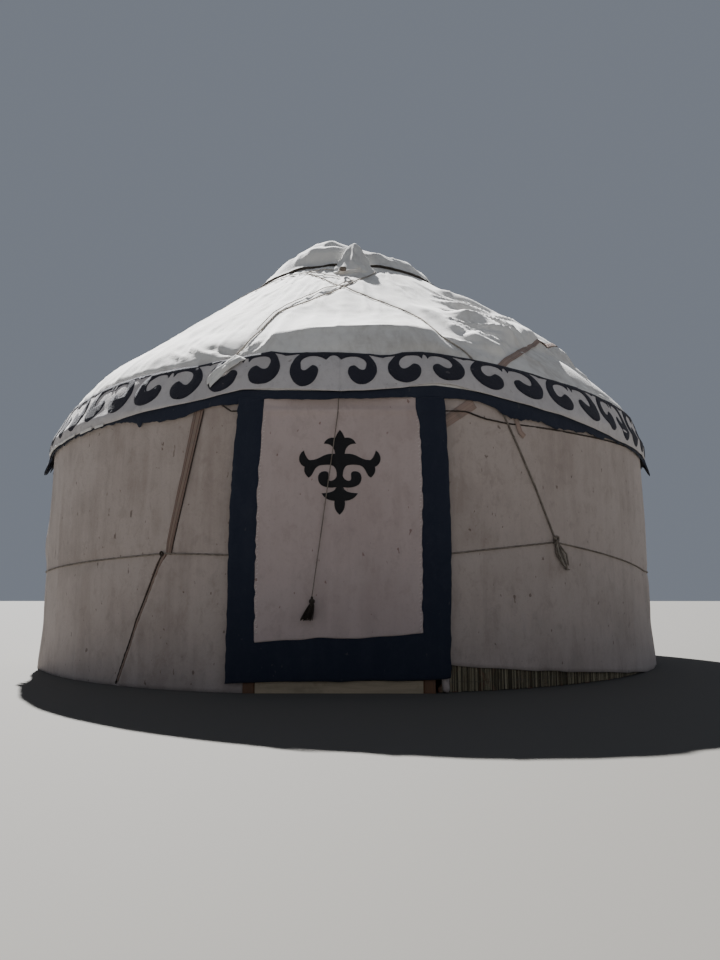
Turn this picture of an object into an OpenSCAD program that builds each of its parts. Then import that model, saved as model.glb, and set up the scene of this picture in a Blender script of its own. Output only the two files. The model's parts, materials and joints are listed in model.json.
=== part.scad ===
// Felt tent with a lattice wall, bent roof poles and a round crown.
// The origin is the centre of the floor, the door faces -Y, and sizes are in millimetres.

/* [Wall] */
// Outer radius of the wall felt
wall_r = 2800; // [2600:10:3000]
// Height of the roof's lower edge above the ground
eave_z = 1862; // [1800:1:1950]
// Thickness of the wall felt
felt_t = 14; // [10:1:18]
// How far the wall felt is tucked up under the roof
wall_tuck = 120; // [60:5:140]
// Thickness of the reed screen
reed_t = 8; // [5:1:12]
// Height of the reed screen
reed_h = 1700; // [1500:10:1750]
// Height of the right front hem above the ground, beside the door
raised_hem = 155; // [40:5:200]
// Bearing from the door at which that hem reaches the ground, in degrees
hem_down = 58; // [40:1:80]
// Clearance between pieces that lie against each other
seat = 0.4; // [0.3:0.1:0.6]

/* [Lattice] */
// Width of a lath
lath_w = 28; // [20:1:34]
// Thickness of a lath
lath_t = 12; // [9:1:14]
// Steepness of the laths, in degrees
lath_tilt = 50; // [44:1:56]
// Height of the lattice
lattice_h = 1730; // [1600:10:1760]

/* [Roof] */
// Number of roof poles
pole_count = 64; // [56:4:72]
// How far the roof's edge stands out past the wall felt
eave_out = 22; // [20:1:30]
// Steepness of the shoulder, in degrees
shoulder_tilt = 65; // [62:1:68]
// Steepness of the cone, in degrees
roof_tilt = 39; // [37:1:41]
// Height of the corner between shoulder and cone above the eave
knee_rise = 435; // [410:5:460]
// Length of the rounding on each side of that corner
knee_round = 300; // [240:10:320]
// Thickness of the roof cover, felt under canvas
roof_t = 14; // [10:1:18]
// Width of the ornamented band, up the slope
band_w = 350; // [300:5:400]
// Thickness of the band
band_t = 5; // [3:1:7]
// Depth of the dark skirt that hangs below the eave
skirt_h = 56; // [45:1:58]
// Thickness of the skirt
skirt_t = 8; // [5:1:9]

/* [Poles] */
// Width of a pole's flat foot
pole_w = 28; // [22:1:30]
// Thickness of a pole's foot, across the wall
pole_t = 34; // [30:1:38]
// Radius of a pole's bend, on its outer side
pole_bend = 1000; // [960:10:1040]
// Height of the lower end of a pole's foot
pole_foot_z = 1520; // [1400:10:1600]

/* [Crown] */
// Outer radius of the crown ring
crown_r = 855; // [800:5:880]
// Width of the ring's wood
ring_w = 75; // [60:5:90]
// Height of the ring's wood
ring_h = 110; // [90:5:130]
// Height of the ring's underside below the roof poles' upper ends
ring_drop = 36; // [30:1:44]
// Rise of the arched slats above the ring
slat_rise = 292; // [260:2:310]
// Width of a slat
slat_w = 34; // [24:2:40]
// Thickness of a slat
slat_t = 20; // [16:1:24]
// Distance between neighbouring slats
slat_gap = 130; // [100:5:140]
// Thickness of the crown cover
crown_t = 14; // [10:1:16]
// How far the crown cover reaches past the ring
crown_over = 115; // [70:5:140]
// Length of the cloth gathered into a knot at the crown's front
gather_l = 550; // [450:10:600]
// Radius of that gathered cloth
gather_r = 190; // [150:5:210]

/* [Scrolls] */
// Number of scroll pairs round the band
pair_count = 26; // [24:2:28]
// Width of one curl
curl_w = 184; // [150:2:190]
// Height of one curl, with its line
curl_h = 262; // [240:2:280]
// Distance between the two curls that face each other
curl_gap = 372; // [360:2:400]
// Height of the line along the band's upper edge
line_h = 14; // [8:1:20]
// Thickness of the scrolls
scroll_t = 3; // [2:0.5:4]
// Turn of the pattern from the middle of the door, in degrees
pattern_turn = -0.8; // [-7:0.1:7]

/* [Door] */
// Clear width of the doorway
door_w = 1040; // [950:10:1060]
// Width of a jamb
jamb_w = 75; // [60:5:90]
// Depth of the door frame
frame_d = 100; // [80:5:110]
// Height of the lintel
lintel_h = 90; // [70:5:110]
// Height of the threshold
threshold_h = 75; // [50:5:90]
// How far the door frame stands back from the flap's hem
frame_back = 5; // [5:1:12]

/* [Flap] */
// Width of the door flap
flap_w = 1360; // [1280:10:1400]
// Height of the flap's lower edge above the ground
flap_z = 76; // [60:1:90]
// Thickness of the flap's dark felt
flap_t = 12; // [8:1:14]
// Thickness of its pale panel
panel_t = 5; // [3:1:7]
// Width of the dark border at the sides
border_w = 170; // [100:5:200]
// Height of the dark border at the bottom
border_h = 265; // [200:5:300]
// Distance of the flap's back from the wall rope
flap_clear = 6; // [5:1:12]
// Outer radius of the rolled hem
hem_r = 13; // [11:0.5:14]
// Running clearance of the rope in the hem
hem_clear = 0.5; // [0.3:0.1:1]
// Gap between the hem and the skirt above it
hem_gap = 7; // [6:1:12]
// Thickness of the ornament
ornament_t = 3; // [2:0.5:4]
// Width of the ornament
ornament_w = 526; // [440:2:560]
// Height of the ornament
ornament_h = 550; // [480:10:600]
// Height of the ornament's middle above the ground
ornament_z = 1376; // [1340:2:1420]

/* [Ropes] */
// Radius of the eave rope and the wall rope
rope_r = 6; // [4:0.5:7]
// Height of the wall rope round the sides and the back
wall_rope_z = 785; // [700:5:800]
// Height of the wall rope beside the door
rope_at_door = 852; // [820:2:900]
// Height of the wall rope under the right tie, which pulls it up
rope_at_tie = 952; // [900:2:980]
// Width of the woven strap
strap_w = 60; // [40:5:80]
// Thickness of the woven strap
strap_t = 4; // [3:1:6]
// Radius of the tassel's cord
cord_r = 3.5; // [3:0.5:5]
// Radius of the tassel
tassel_r = 30; // [20:1:40]
// Length of the tassel
tassel_l = 150; // [100:5:180]

/* [Hidden] */
$fn = 180;
round_fn = 24;
lap = 1;
far = 9000;

// Radii of the wall's layers, from the outside in
felt_in = wall_r - felt_t;
reed_out = felt_in - seat;
reed_in = reed_out - reed_t;
lattice_out = reed_in - seat;
lattice_mid = lattice_out - lath_t;
lattice_in = lattice_mid + lap - lath_t;
pole_out = lattice_in - seat;

// The roof's outer line: a straight shoulder, a rounded knee and a straight cone
eave_r = wall_r + eave_out;
knee = [eave_r - knee_rise / tan(shoulder_tilt), eave_z + knee_rise];
knee_r = knee_round / tan((shoulder_tilt - roof_tilt) / 2);
shoulder_l = knee_rise / sin(shoulder_tilt) - knee_round;
arc_l = knee_r * (shoulder_tilt - roof_tilt) * PI / 180;
arc_from = 90 - shoulder_tilt;
knee_centre = knee + knee_round * [cos(shoulder_tilt), -sin(shoulder_tilt)]
    - knee_r * [cos(arc_from), sin(arc_from)];

// Point of the roof's section at length s up the slope and at a depth under its outer face
function roof_at(s, depth) =
    s < shoulder_l ?
        [eave_r, eave_z] + s * [-cos(shoulder_tilt), sin(shoulder_tilt)]
        - depth * [sin(shoulder_tilt), cos(shoulder_tilt)]
    : s < shoulder_l + arc_l ?
        knee_centre + (knee_r - depth) * [cos(arc_from + (s - shoulder_l) / knee_r * 180 / PI),
                                          sin(arc_from + (s - shoulder_l) / knee_r * 180 / PI)]
    :
        knee_centre + (knee_r - depth) * [sin(roof_tilt), cos(roof_tilt)]
        + (s - shoulder_l - arc_l) * [-cos(roof_tilt), sin(roof_tilt)];

// Length up the slope at which the roof's outer face reaches radius r on the cone
function cone_s(r, depth) =
    shoulder_l + arc_l + ((knee_centre + (knee_r - depth) * [sin(roof_tilt), cos(roof_tilt)])[0] - r)
    / cos(roof_tilt);

// Section line between two lengths, with points round the knee
function roof_line(from, to, depth) = [
    for (s = concat([from],
                    [for (k = [0:8]) if (shoulder_l + k * arc_l / 8 > from
                                         && shoulder_l + k * arc_l / 8 < to)
                        shoulder_l + k * arc_l / 8],
                    [to]))
        roof_at(s, depth)
];
function reversed(list) = [for (i = [len(list) - 1:-1:0]) list[i]];
function roof_section(from, to, outer, inner) =
    concat(roof_line(from, to, outer), reversed(roof_line(from, to, inner)));

// Door, flap and hinge line
door_edge = door_w / 2 + jamb_w;
skirt_foot = eave_z - roof_t * cos(shoulder_tilt) - seat - skirt_h;
eave_rope_z = skirt_foot - hem_gap - hem_r;
rope_track_r = wall_r + seat + rope_r;
flap_back = sqrt(pow(wall_r + seat + 2 * rope_r, 2) - pow(door_edge, 2)) + flap_clear;
flap_mid = flap_back + flap_t / 2;
frame_front = flap_mid - hem_r - frame_back;
frame_rear = frame_front - frame_d;
frame_top = eave_z;
door_angle = asin(door_edge / wall_r);
lattice_from = asin((door_edge + seat) / lattice_in) + 0.4;

// Crown
crown_rim_r = crown_r + crown_over;
crown_top_s = cone_s(crown_r + seat, roof_t);
pole_end_z = roof_at(cone_s(crown_r + seat, roof_t + seat), roof_t + seat)[1];
ring_z = pole_end_z - pole_t / cos(roof_tilt) - ring_drop + 24;
ring_top = ring_z + ring_h;
slat_foot_r = crown_r - ring_w / 2;
slat_r = (pow(slat_foot_r, 2) + pow(slat_rise, 2)) / (2 * slat_rise);
slat_centre_z = ring_top + slat_rise - slat_r;
dome_r = sqrt(pow(slat_r + slat_t / 2, 2) + pow(slat_gap + slat_w / 2, 2)) + seat + 1.4;
dome_centre_z = slat_centre_z + slat_t / 2;

// A piece of a revolve between two bearings, counted from the door, right-handed seen from above
module sector(from, to) {
    rotate([0, 0, -90 + from]) rotate_extrude(angle = to - from) children();
}

// A ring section standing on the ground
module hoop(r_in, r_out, z_from, z_to) {
    translate([r_in, z_from]) square([r_out - r_in, z_to - z_from]);
}

// Door frame
module jamb(side) {
    difference() {
        translate([side > 0 ? door_w / 2 : -door_edge, -frame_front, 0])
            cube([jamb_w, frame_d, frame_top - lintel_h - seat]);
        translate([side * door_w / 2, -frame_front, 0])
            rotate([0, 0, 45]) cube([14, 14, far], center = true);
    }
}

module left_jamb() {
    color("saddlebrown") jamb(-1);
}

module right_jamb() {
    color("saddlebrown") jamb(1);
}

module lintel() {
    color("saddlebrown")
        translate([-door_edge, -frame_front, frame_top - lintel_h])
            cube([2 * door_edge, frame_d, lintel_h]);
}

module threshold() {
    color("tan")
        translate([-door_w / 2 + seat, -frame_front, 0])
            cube([door_w - 2 * seat, frame_d, threshold_h]);
}

// Lattice wall: two layers of tilted laths, fused where they cross
pole_step = 360 / pole_count;
lath_reach = lattice_h / tan(lath_tilt) / (2 * PI * lattice_mid) * 360 / 2;

module lath_layer(r_in, tilt, from, to) {
    first = ceil((from - lath_reach) / pole_step);
    last = floor((to + lath_reach) / pole_step);
    intersection() {
        sector(from, to) hoop(r_in, r_in + lath_t, seat, lattice_h);
        union() {
            for (k = [first:last])
                rotate([0, 0, -90 + k * pole_step]) translate([0, 0, lattice_h / 2])
                    rotate([tilt, 0, 0]) translate([r_in - 150, -far / 6, -lath_w / 2])
                        cube([250, far / 3, lath_w]);
        }
    }
}

module lattice(from, to) {
    color("firebrick") union() {
        lath_layer(lattice_in, lath_tilt, from, to);
        lath_layer(lattice_mid, -lath_tilt, from, to);
    }
}

// Roof poles: a flat bent foot and a round upper part
pole_depth = roof_t + seat;
pole_corner_z = roof_at(cone_s(pole_out, pole_depth), pole_depth)[1];
bend_l = pole_bend * tan((90 - roof_tilt) / 2);
bend_centre = [pole_out - pole_bend, pole_corner_z - bend_l];
bend_end = bend_centre + (pole_bend - pole_t / 2) * [sin(roof_tilt), cos(roof_tilt)];
pole_top = roof_at(cone_s(crown_r + seat, pole_depth + pole_t / 2), pole_depth + pole_t / 2);

function pole_side(r, foot) = concat(
    [[bend_centre[0] + r, foot]],
    [for (k = [0:10]) let (a = (90 - roof_tilt) * k / 10) if (bend_centre[1] + r * sin(a) > foot)
        bend_centre + r * [cos(a), sin(a)]]
);

module pole(foot) {
    translate([0, pole_w / 2, 0]) rotate([90, 0, 0]) linear_extrude(pole_w)
        polygon(concat(pole_side(pole_bend, foot), reversed(pole_side(pole_bend - pole_t, foot))));
    translate([bend_end[0], 0, bend_end[1]]) rotate([0, roof_tilt - 90, 0])
        translate([0, 0, -50])
            cylinder(h = 50 + (bend_end[0] - pole_top[0]) / cos(roof_tilt), r1 = 16, r2 = 14, $fn = round_fn);
}

module roof_poles(first, last) {
    color("firebrick") union() {
        for (k = [first:last])
            rotate([0, 0, -90 + k * pole_step])
                pole(abs(sin(k * pole_step)) * pole_out < door_edge + pole_w && cos(k * pole_step) > 0 ?
                     frame_top + seat : pole_foot_z);
    }
}

quarter = pole_count / 4;

// Crown: a bent ring and two crossed sets of arched slats
module crown_ring() {
    color("firebrick") rotate_extrude() polygon([
        [crown_r - ring_w, ring_z], [crown_r, ring_z], [crown_r, ring_top - 12],
        [crown_r - 12, ring_top], [crown_r - ring_w, ring_top]
    ]);
}

module slat(lift) {
    translate([0, slat_w / 2, slat_centre_z + lift]) rotate([90, 0, 0]) linear_extrude(slat_w)
        difference() {
            circle(r = slat_r + slat_t / 2);
            circle(r = slat_r - slat_t / 2);
        }
}

module crown_slats() {
    color("firebrick") intersection() {
        union() {
            for (i = [-1:1]) {
                translate([0, i * slat_gap, 0]) slat(0);
                rotate([0, 0, 90]) translate([0, i * slat_gap, 0]) slat(slat_t / 2);
            }
        }
        translate([0, 0, ring_top + seat]) cylinder(h = far, r = crown_r - 12);
    }
}

// Reed screen and wall felts, in panels that meet at seams
seam = 92;
seam_gap = 0.02;

module reed_screen(from, to) {
    color("burlywood") sector(from, to) hoop(reed_in, reed_out, seat, reed_h);
}

felt_foot_depth = roof_t + seat;
function shoulder_r(z, depth) =
    eave_r - depth / sin(shoulder_tilt) - (z - eave_z) / tan(shoulder_tilt);
function shoulder_z(r, depth) =
    eave_z + (eave_r - depth / sin(shoulder_tilt) - r) * tan(shoulder_tilt);

module wall_felt(from, to) {
    color("linen") sector(from, to) polygon([
        [felt_in, 0], [wall_r, 0],
        [wall_r, shoulder_z(wall_r, felt_foot_depth)],
        [shoulder_r(eave_z + wall_tuck, felt_foot_depth), eave_z + wall_tuck],
        [shoulder_r(eave_z + wall_tuck, felt_foot_depth + felt_t), eave_z + wall_tuck],
        [felt_in, shoulder_z(felt_in, felt_foot_depth + felt_t)]
    ]);
}

module door_cut() {
    translate([-door_edge - seat, -far, -1]) cube([2 * (door_edge + seat), far, far]);
}

module wall_felt_front_right() {
    hem_tilt = atan(raised_hem / (wall_r * sin(hem_down - door_angle)));
    color("linen") difference() {
        wall_felt(0, seam - seam_gap);
        door_cut();
        rotate([0, 0, hem_down - 90]) rotate([-hem_tilt, 0, 0])
            translate([0, -far, -far]) cube([far, 2 * far, far]);
    }
}

module wall_felt_front_left() {
    color("linen") difference() {
        wall_felt(360 - seam, 360);
        door_cut();
    }
}

// Roof cover, band, scrolls and skirt
module roof_cover(from, to) {
    color("ghostwhite") sector(from, to)
        polygon(roof_section(0, crown_top_s, 0, roof_t));
}

function dome_point(r, above) = [r, dome_centre_z + above + sqrt(pow(dome_r, 2) - pow(r, 2))];

module crown_cover() {
    rim_s = cone_s(crown_rim_r, -seat);
    shoulder = [crown_r + 6, ring_top + seat + 8];
    dome_from = shoulder[0] - 60;
    color("ghostwhite") rotate_extrude() polygon(concat(
        [roof_at(rim_s, -seat), roof_at(rim_s, -seat - crown_t)],
        [shoulder + [crown_t, crown_t / 2]],
        [for (k = [0:8]) dome_point(dome_from * (1 - k / 8), crown_t)],
        [for (k = [8:-1:0]) dome_point(dome_from * (1 - k / 8), 0)],
        [shoulder, [roof_at(rim_s + 30, -seat)[0] + 2, roof_at(rim_s + 30, -seat)[1]]]
    ));
}

module eave_band(from, to) {
    color("whitesmoke") sector(from, to)
        polygon(roof_section(0, band_w, -seat - band_t, -seat));
}

// A run of points on the curve that leaves a towards b and comes into d from c, without d itself
curve_n = 5;
function curve(a, b, c, d) = [
    for (k = [0:curve_n - 1]) let (t = k / curve_n, u = 1 - t)
        u * u * u * a + 3 * u * u * t * b + 3 * u * t * t * c + t * t * t * d
];

// Left half of a pair of facing curls, drawn to the left of the pair's middle with its foot at zero.
// The first line of each curl is its outer side, then come the blob, the pocket and the tip.
function curl_point(x, y) = [x * curl_w / 184 - curl_gap / 2, y * (curl_h - line_h) / 248];
pair_w = 2 * PI * roof_at(band_w, -2 * seat - band_t - scroll_t)[0] / pair_count + lap;
tip_gap = curl_point(184, 234);
function half_pair() = concat(
    [[-pair_w / 2, curl_h], [-pair_w / 2, curl_h - 2 * line_h]],
    curve([-pair_w / 2, curl_h - 2 * line_h], [-pair_w / 2 + 34, curl_h - 1.5 * line_h],
          curl_point(-86, 246), curl_point(-41, 248)),
    curve(curl_point(-41, 248), curl_point(-66, 222), curl_point(-91, 170), curl_point(-92, 127)),
    curve(curl_point(-92, 127), curl_point(-92, 60), curl_point(-48, 0), curl_point(1, 0)),
    curve(curl_point(1, 0), curl_point(56, 0), curl_point(92, 50), curl_point(92, 105)),
    curve(curl_point(92, 105), curl_point(92, 134), curl_point(72, 151), curl_point(52, 151)),
    curve(curl_point(52, 151), curl_point(34, 140), curl_point(22, 114), curl_point(-2, 114)),
    curve(curl_point(-2, 114), curl_point(-18, 115), curl_point(-27, 140), curl_point(-27, 165)),
    curve(curl_point(-27, 165), curl_point(-27, 205), curl_point(4, 228), curl_point(50, 229)),
    curve(curl_point(50, 229), curl_point(90, 230), curl_point(112, 212), curl_point(137, 195)),
    curve(curl_point(137, 195), curl_point(148, 208), curl_point(156, 234), [-lap, tip_gap[1]]),
    [[0, tip_gap[1]]]
);
function mirrored(list) = [for (i = [len(list) - 1:-1:0]) [-list[i][0], list[i][1]]];

module scrolls(first, last) {
    half_turn = 180 / pair_count;
    start = pattern_turn - half_turn;
    color("midnightblue") intersection() {
        sector(start + first * 2 * half_turn, start + (last + 1) * 2 * half_turn - seam_gap)
            polygon(roof_section(band_w - curl_h - 6, band_w,
                                 -2 * seat - band_t - scroll_t, -2 * seat - band_t));
        union() {
            for (k = [first:last])
                rotate([0, 0, pattern_turn + k * 2 * half_turn])
                    translate([0, -roof_at(band_w - curl_h / 2, 0)[0], roof_at(band_w - curl_h / 2, 0)[1]])
                        rotate([shoulder_tilt, 0, 0]) translate([0, -curl_h / 2, 0])
                            linear_extrude(80, center = true) polygon(concat(half_pair(), mirrored(half_pair())));
        }
    }
}

module skirt(from, to) {
    color("black") sector(from, to)
        hoop(eave_r - 6 - skirt_t, eave_r - 6, skirt_foot, skirt_foot + skirt_h);
}

// Ropes that lie on the wall and the roof: a tube with eight sides along given points
function along(p, i) = let (d = p[min(i + 1, len(p) - 1)] - p[max(i - 1, 0)]) d / norm(d);
function crossed(a, b) = cross(a, b) / norm(cross(a, b));
sides = 8;

module rope(p, r) {
    rings = [for (i = [0:len(p) - 1])
        let (d = along(p, i), u = crossed(d, abs(d[2]) > 0.99 ? [1, 0, 0] : [0, 0, 1]), v = cross(d, u))
            for (k = [0:sides - 1]) p[i] + r * (cos(360 * k / sides) * u + sin(360 * k / sides) * v)];
    n = len(p);
    polyhedron(rings, concat(
        [[for (k = [0:sides - 1]) k]],
        [[for (k = [sides - 1:-1:0]) (n - 1) * sides + k]],
        [for (i = [0:n - 2]) for (k = [0:sides - 1])
            let (a = i * sides + k, b = i * sides + (k + 1) % sides)
                [a, a + sides, b + sides, b]]
    ));
}

// Points along a line from one bearing and place to another
function on_wall(angle, z, r) = [r * sin(angle), -r * cos(angle), z];
function on_roof(angle, s, lift) = let (q = roof_at(s, -lift)) [q[0] * sin(angle), -q[0] * cos(angle), q[1]];
function wall_run(a, b, r, n) = [for (k = [0:n]) on_wall(a[0] + (b[0] - a[0]) * k / n,
                                                        a[1] + (b[1] - a[1]) * k / n, r)];

// The eave rope runs round the wall, leaves it on both sides of the door and carries the flap
rope_bend = [flap_w / 2 + 30, -flap_mid];
rope_meets = atan2(rope_bend[0], -rope_bend[1]) + acos(rope_track_r / norm(rope_bend));

module eave_rope() {
    wall_point = rope_track_r * [sin(rope_meets), -cos(rope_meets)];
    slant = (wall_point - rope_bend) / norm(wall_point - rope_bend);
    start = rope_bend + (rope_r * slant[1] + seat) / slant[0] * slant;
    color("dimgray") translate([0, 0, eave_rope_z]) {
        translate([-rope_bend[0], rope_bend[1], 0]) rotate([0, 90, 0])
            cylinder(h = 2 * rope_bend[0], r = rope_r, $fn = round_fn);
        for (side = [0, 1])
            mirror([side, 0, 0])
                rope([concat(start, 0), concat((start + wall_point) / 2, 0), concat(wall_point - seat * slant, 0)], rope_r);
        sector(rope_meets, 360 - rope_meets)
            translate([rope_track_r, 0]) circle(r = rope_r, $fn = round_fn);
    }
}

// The wall rope is level round the back and climbs on both sides towards the door
rope_level = 61;
tie_bearing = 31.4;
rope_lift = 0.6;
rope_left_end = -door_angle - 0.4;

function rope_run(a, b) = wall_run(a, b, rope_track_r + rope_lift, ceil(abs(b[0] - a[0]) / 2.4));

module wall_rope() {
    color("dimgray") {
        translate([0, 0, wall_rope_z]) sector(rope_level + seam_gap, 360 - rope_level - seam_gap)
            translate([rope_track_r, 0]) circle(r = rope_r, $fn = round_fn);
        rope(rope_run([-rope_level, wall_rope_z], [rope_left_end, rope_at_door]), rope_r);
        rope(concat(rope_run([-rope_left_end, rope_at_door], [tie_bearing, rope_at_tie]),
                    [for (p = rope_run([tie_bearing, rope_at_tie], [rope_level, wall_rope_z]))
                        if (p[0] > on_wall(tie_bearing, 0, wall_r + 3 * rope_r)[0]) p]), rope_r);
    }
}

strap_top = [-19.6, eave_rope_z - rope_r - 4];
strap_bearing = -23.8;
left_climb = (rope_at_door - wall_rope_z) / (rope_level + rope_left_end);
rope_under_strap = wall_rope_z + left_climb * (rope_level + strap_bearing + 1);
strap_foot = [strap_bearing, rope_under_strap + rope_r + 4];

// Strap at the top of the right jamb: how far its two ends are past the jamb and below the skirt
right_strap_top = [door_angle + asin(200 / wall_r), skirt_foot - 2];
right_strap_foot = [door_angle + asin(65 / wall_r), right_strap_top[1] - 102];

// A flat strap on the wall between two places, each given by its bearing and height
module wall_strap(top, foot) {
    slope = atan((top[1] - foot[1]) / ((top[0] - foot[0]) * PI / 180 * wall_r));
    color("burlywood") intersection() {
        sector(min(top[0], foot[0]) - 4, max(top[0], foot[0]) + 4)
            hoop(wall_r + seat, wall_r + seat + strap_t, foot[1], top[1]);
        rotate([0, 0, -90 + (top[0] + foot[0]) / 2])
            translate([0, 0, (top[1] + foot[1]) / 2]) rotate([slope, 0, 0])
                translate([wall_r - 100, -far / 6, -strap_w / 2]) cube([200, far / 3, strap_w]);
    }
}

module left_tie() {
    color("black")
        rope(wall_run([-25, strap_foot[1] - 3 * rope_r - 12], [-31.8, 20], rope_track_r, 10), rope_r);
}

module right_tie() {
    knot_r = 22;
    knot_out = wall_r + seat + knot_r;
    knot_z = rope_at_tie + rope_r + knot_r + 4;
    color("dimgray") {
        rope(concat(wall_run([24.2, eave_rope_z - rope_r - 8], [tie_bearing - 0.6, knot_z + 66], rope_track_r, 9),
                    [on_wall(tie_bearing, knot_z + knot_r - 2, knot_out)]), rope_r);
        translate(on_wall(tie_bearing, knot_z, knot_out)) sphere(r = knot_r);
        for (tail = [[1.6, 160], [2.7, 216]])
            rope([on_wall(tie_bearing + 0.1 * tail[0], knot_z - knot_r + 3, knot_out),
                  on_wall(tie_bearing + 0.5 * tail[0], knot_z - 70, knot_out),
                  on_wall(tie_bearing + tail[0], knot_z - tail[1], knot_out - rope_r)], rope_r);
    }
}

// Roof ropes run straight in plan from one point to another, each given by its radius and bearing
function roof_s(r) =
    let (s = cone_s(r, 0)) s > shoulder_l + arc_l ? s
    : shoulder_l + (acos((r - knee_centre[0]) / knee_r) - arc_from) * PI / 180 * knee_r;
function polar(a) = a[0] * [sin(a[1]), -cos(a[1])];
function roof_run(a, b, n, hump) = [
    for (k = [0:n])
        let (p = polar(a) + (polar(b) - polar(a)) * k / n)
            on_roof(atan2(p[0], -p[1]), roof_s(norm(p)),
                    seat + rope_r + rope_lift + hump * exp(-pow((k / n - rope_crossing) * 9, 2)))
];
rope_high_r = crown_rim_r + 60;
rope_low_r = roof_at(band_w + rope_r + 3, 0)[0];
rope_high = 20.8;
rope_low = 20.2;
rope_crossing = rope_high_r * sin(rope_high) / (rope_high_r * sin(rope_high) + rope_low_r * sin(rope_low));

// The long rope lies on the canvas, and the crossing one passes over it
module long_rope(turn) {
    color("silver") rope(roof_run([rope_high_r, turn + rope_high], [rope_low_r, turn - rope_low], 32, 0), rope_r);
}

module cross_rope(turn) {
    color("silver")
        rope(roof_run([rope_high_r, turn - rope_high], [rope_low_r, turn + rope_low], 32, 2 * rope_r + 3), rope_r);
}

// A flat strap over the right side of the roof, straight in plan
roof_strap_bearing = 61.8;
roof_strap_out = 2107;

module roof_strap() {
    $fn = 720;
    color("burlywood") intersection() {
        sector(roof_strap_bearing - 60, roof_strap_bearing + 60)
            polygon(roof_section(band_w + 4, crown_top_s - crown_over, -seat - strap_t, -seat));
        rotate([0, 0, roof_strap_bearing])
            translate([-far / 2, -roof_strap_out - strap_w / 2, 0]) cube([far, strap_w, far]);
    }
}

// Cloth of the crown cover, pulled together into a knot below its rim at the front: a pouch that leans back
// and to the right on the cover, clear of the ropes that cross below it
gather_foot = [-33, crown_rim_r + 210];
gather_lean = 37;
gather_side = 12;
rope_clear = 2 * rope_r + 2;

module crown_gather() {
    color("ghostwhite") difference() {
        translate([gather_foot[0], -gather_foot[1], roof_at(cone_s(gather_foot[1], 0), 0)[1] + 24])
            rotate([-gather_lean, gather_side, 0]) rotate_extrude() polygon([
                [0, 0], [26, 12], [0.62 * gather_r, 0.13 * gather_l], [0.96 * gather_r, 0.26 * gather_l],
                [gather_r, 0.38 * gather_l], [0.8 * gather_r, 0.6 * gather_l],
                [0.46 * gather_r, 0.82 * gather_l], [0.2 * gather_r, 0.96 * gather_l], [0, gather_l]
            ]);
        rotate_extrude() polygon(concat(
            [[0, 0]], roof_line(0, cone_s(crown_rim_r, 0) - 12, -rope_clear),
            [roof_at(cone_s(crown_rim_r, -seat), -2 * seat - crown_t) + [2, 0]],
            [[crown_r + 6 + crown_t + 2 * seat, ring_top + seat + 8 + crown_t / 2 + seat]],
            [for (k = [0:8]) dome_point((crown_r - 54) * (1 - k / 8), crown_t + 2 * seat)]
        ));
    }
}

// Door flap with its rolled hem round the eave rope
hem_front = flap_mid + hem_r;

module door_flap() {
    color("midnightblue") difference() {
        union() {
            translate([-flap_w / 2, -flap_back - flap_t, flap_z])
                cube([flap_w, flap_t, eave_rope_z - flap_z]);
            translate([-flap_w / 2, -flap_mid, eave_rope_z]) rotate([0, 90, 0])
                cylinder(h = flap_w, r = hem_r);
        }
        translate([-flap_w, -flap_mid, eave_rope_z]) rotate([0, 90, 0])
            cylinder(h = 2 * flap_w, r = rope_r + hem_clear);
    }
}

panel_front = flap_back + flap_t + seat + panel_t;

module flap_panel() {
    color("linen")
        translate([-flap_w / 2 + border_w, -panel_front, flap_z + border_h])
            cube([flap_w - 2 * border_w, panel_t, eave_rope_z - hem_r - 4 - flap_z - border_h]);
}

// Right half of the ornament from its upper bud down to its lower bud, about its own middle
function leaf(x, y) = [x * ornament_w / 526, y * ornament_h / 550];
function ornament_half() = concat(
    curve(leaf(0, 275), leaf(16, 258), leaf(24, 240), leaf(31, 223)),
    curve(leaf(31, 223), leaf(66, 230), leaf(92, 214), leaf(104, 184)),
    curve(leaf(104, 184), leaf(70, 188), leaf(36, 172), leaf(31, 119)),
    curve(leaf(31, 119), leaf(120, 124), leaf(120, 78), leaf(193, 77)),
    curve(leaf(193, 77), leaf(212, 84), leaf(222, 110), leaf(232, 140)),
    curve(leaf(232, 140), leaf(275, 110), leaf(270, 50), leaf(225, 33)),
    curve(leaf(225, 33), leaf(234, 6), leaf(222, -18), leaf(199, -37)),
    curve(leaf(199, -37), leaf(160, -20), leaf(176, 44), leaf(107, 46)),
    curve(leaf(107, 46), leaf(40, 52), leaf(22, 40), leaf(19, -25)),
    curve(leaf(19, -25), leaf(28, -58), leaf(72, -68), leaf(73, -44)),
    curve(leaf(73, -44), leaf(76, -20), leaf(60, 6), leaf(100, 5)),
    curve(leaf(100, 5), leaf(152, 4), leaf(150, -74), leaf(108, -90)),
    curve(leaf(108, -90), leaf(84, -103), leaf(50, -103), leaf(22, -98)),
    curve(leaf(22, -98), leaf(34, -136), leaf(80, -134), leaf(116, -138)),
    curve(leaf(116, -138), leaf(94, -174), leaf(66, -184), leaf(33, -186)),
    curve(leaf(33, -186), leaf(38, -236), leaf(22, -256), leaf(0, -275))
);

module flap_ornament() {
    color("black")
        translate([0, -panel_front - seat, ornament_z]) rotate([90, 0, 0]) linear_extrude(ornament_t)
            polygon(concat(ornament_half(), [leaf(0, -275)], [for (p = mirrored(ornament_half())) if (p[0] < 0) p]));
}

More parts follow.
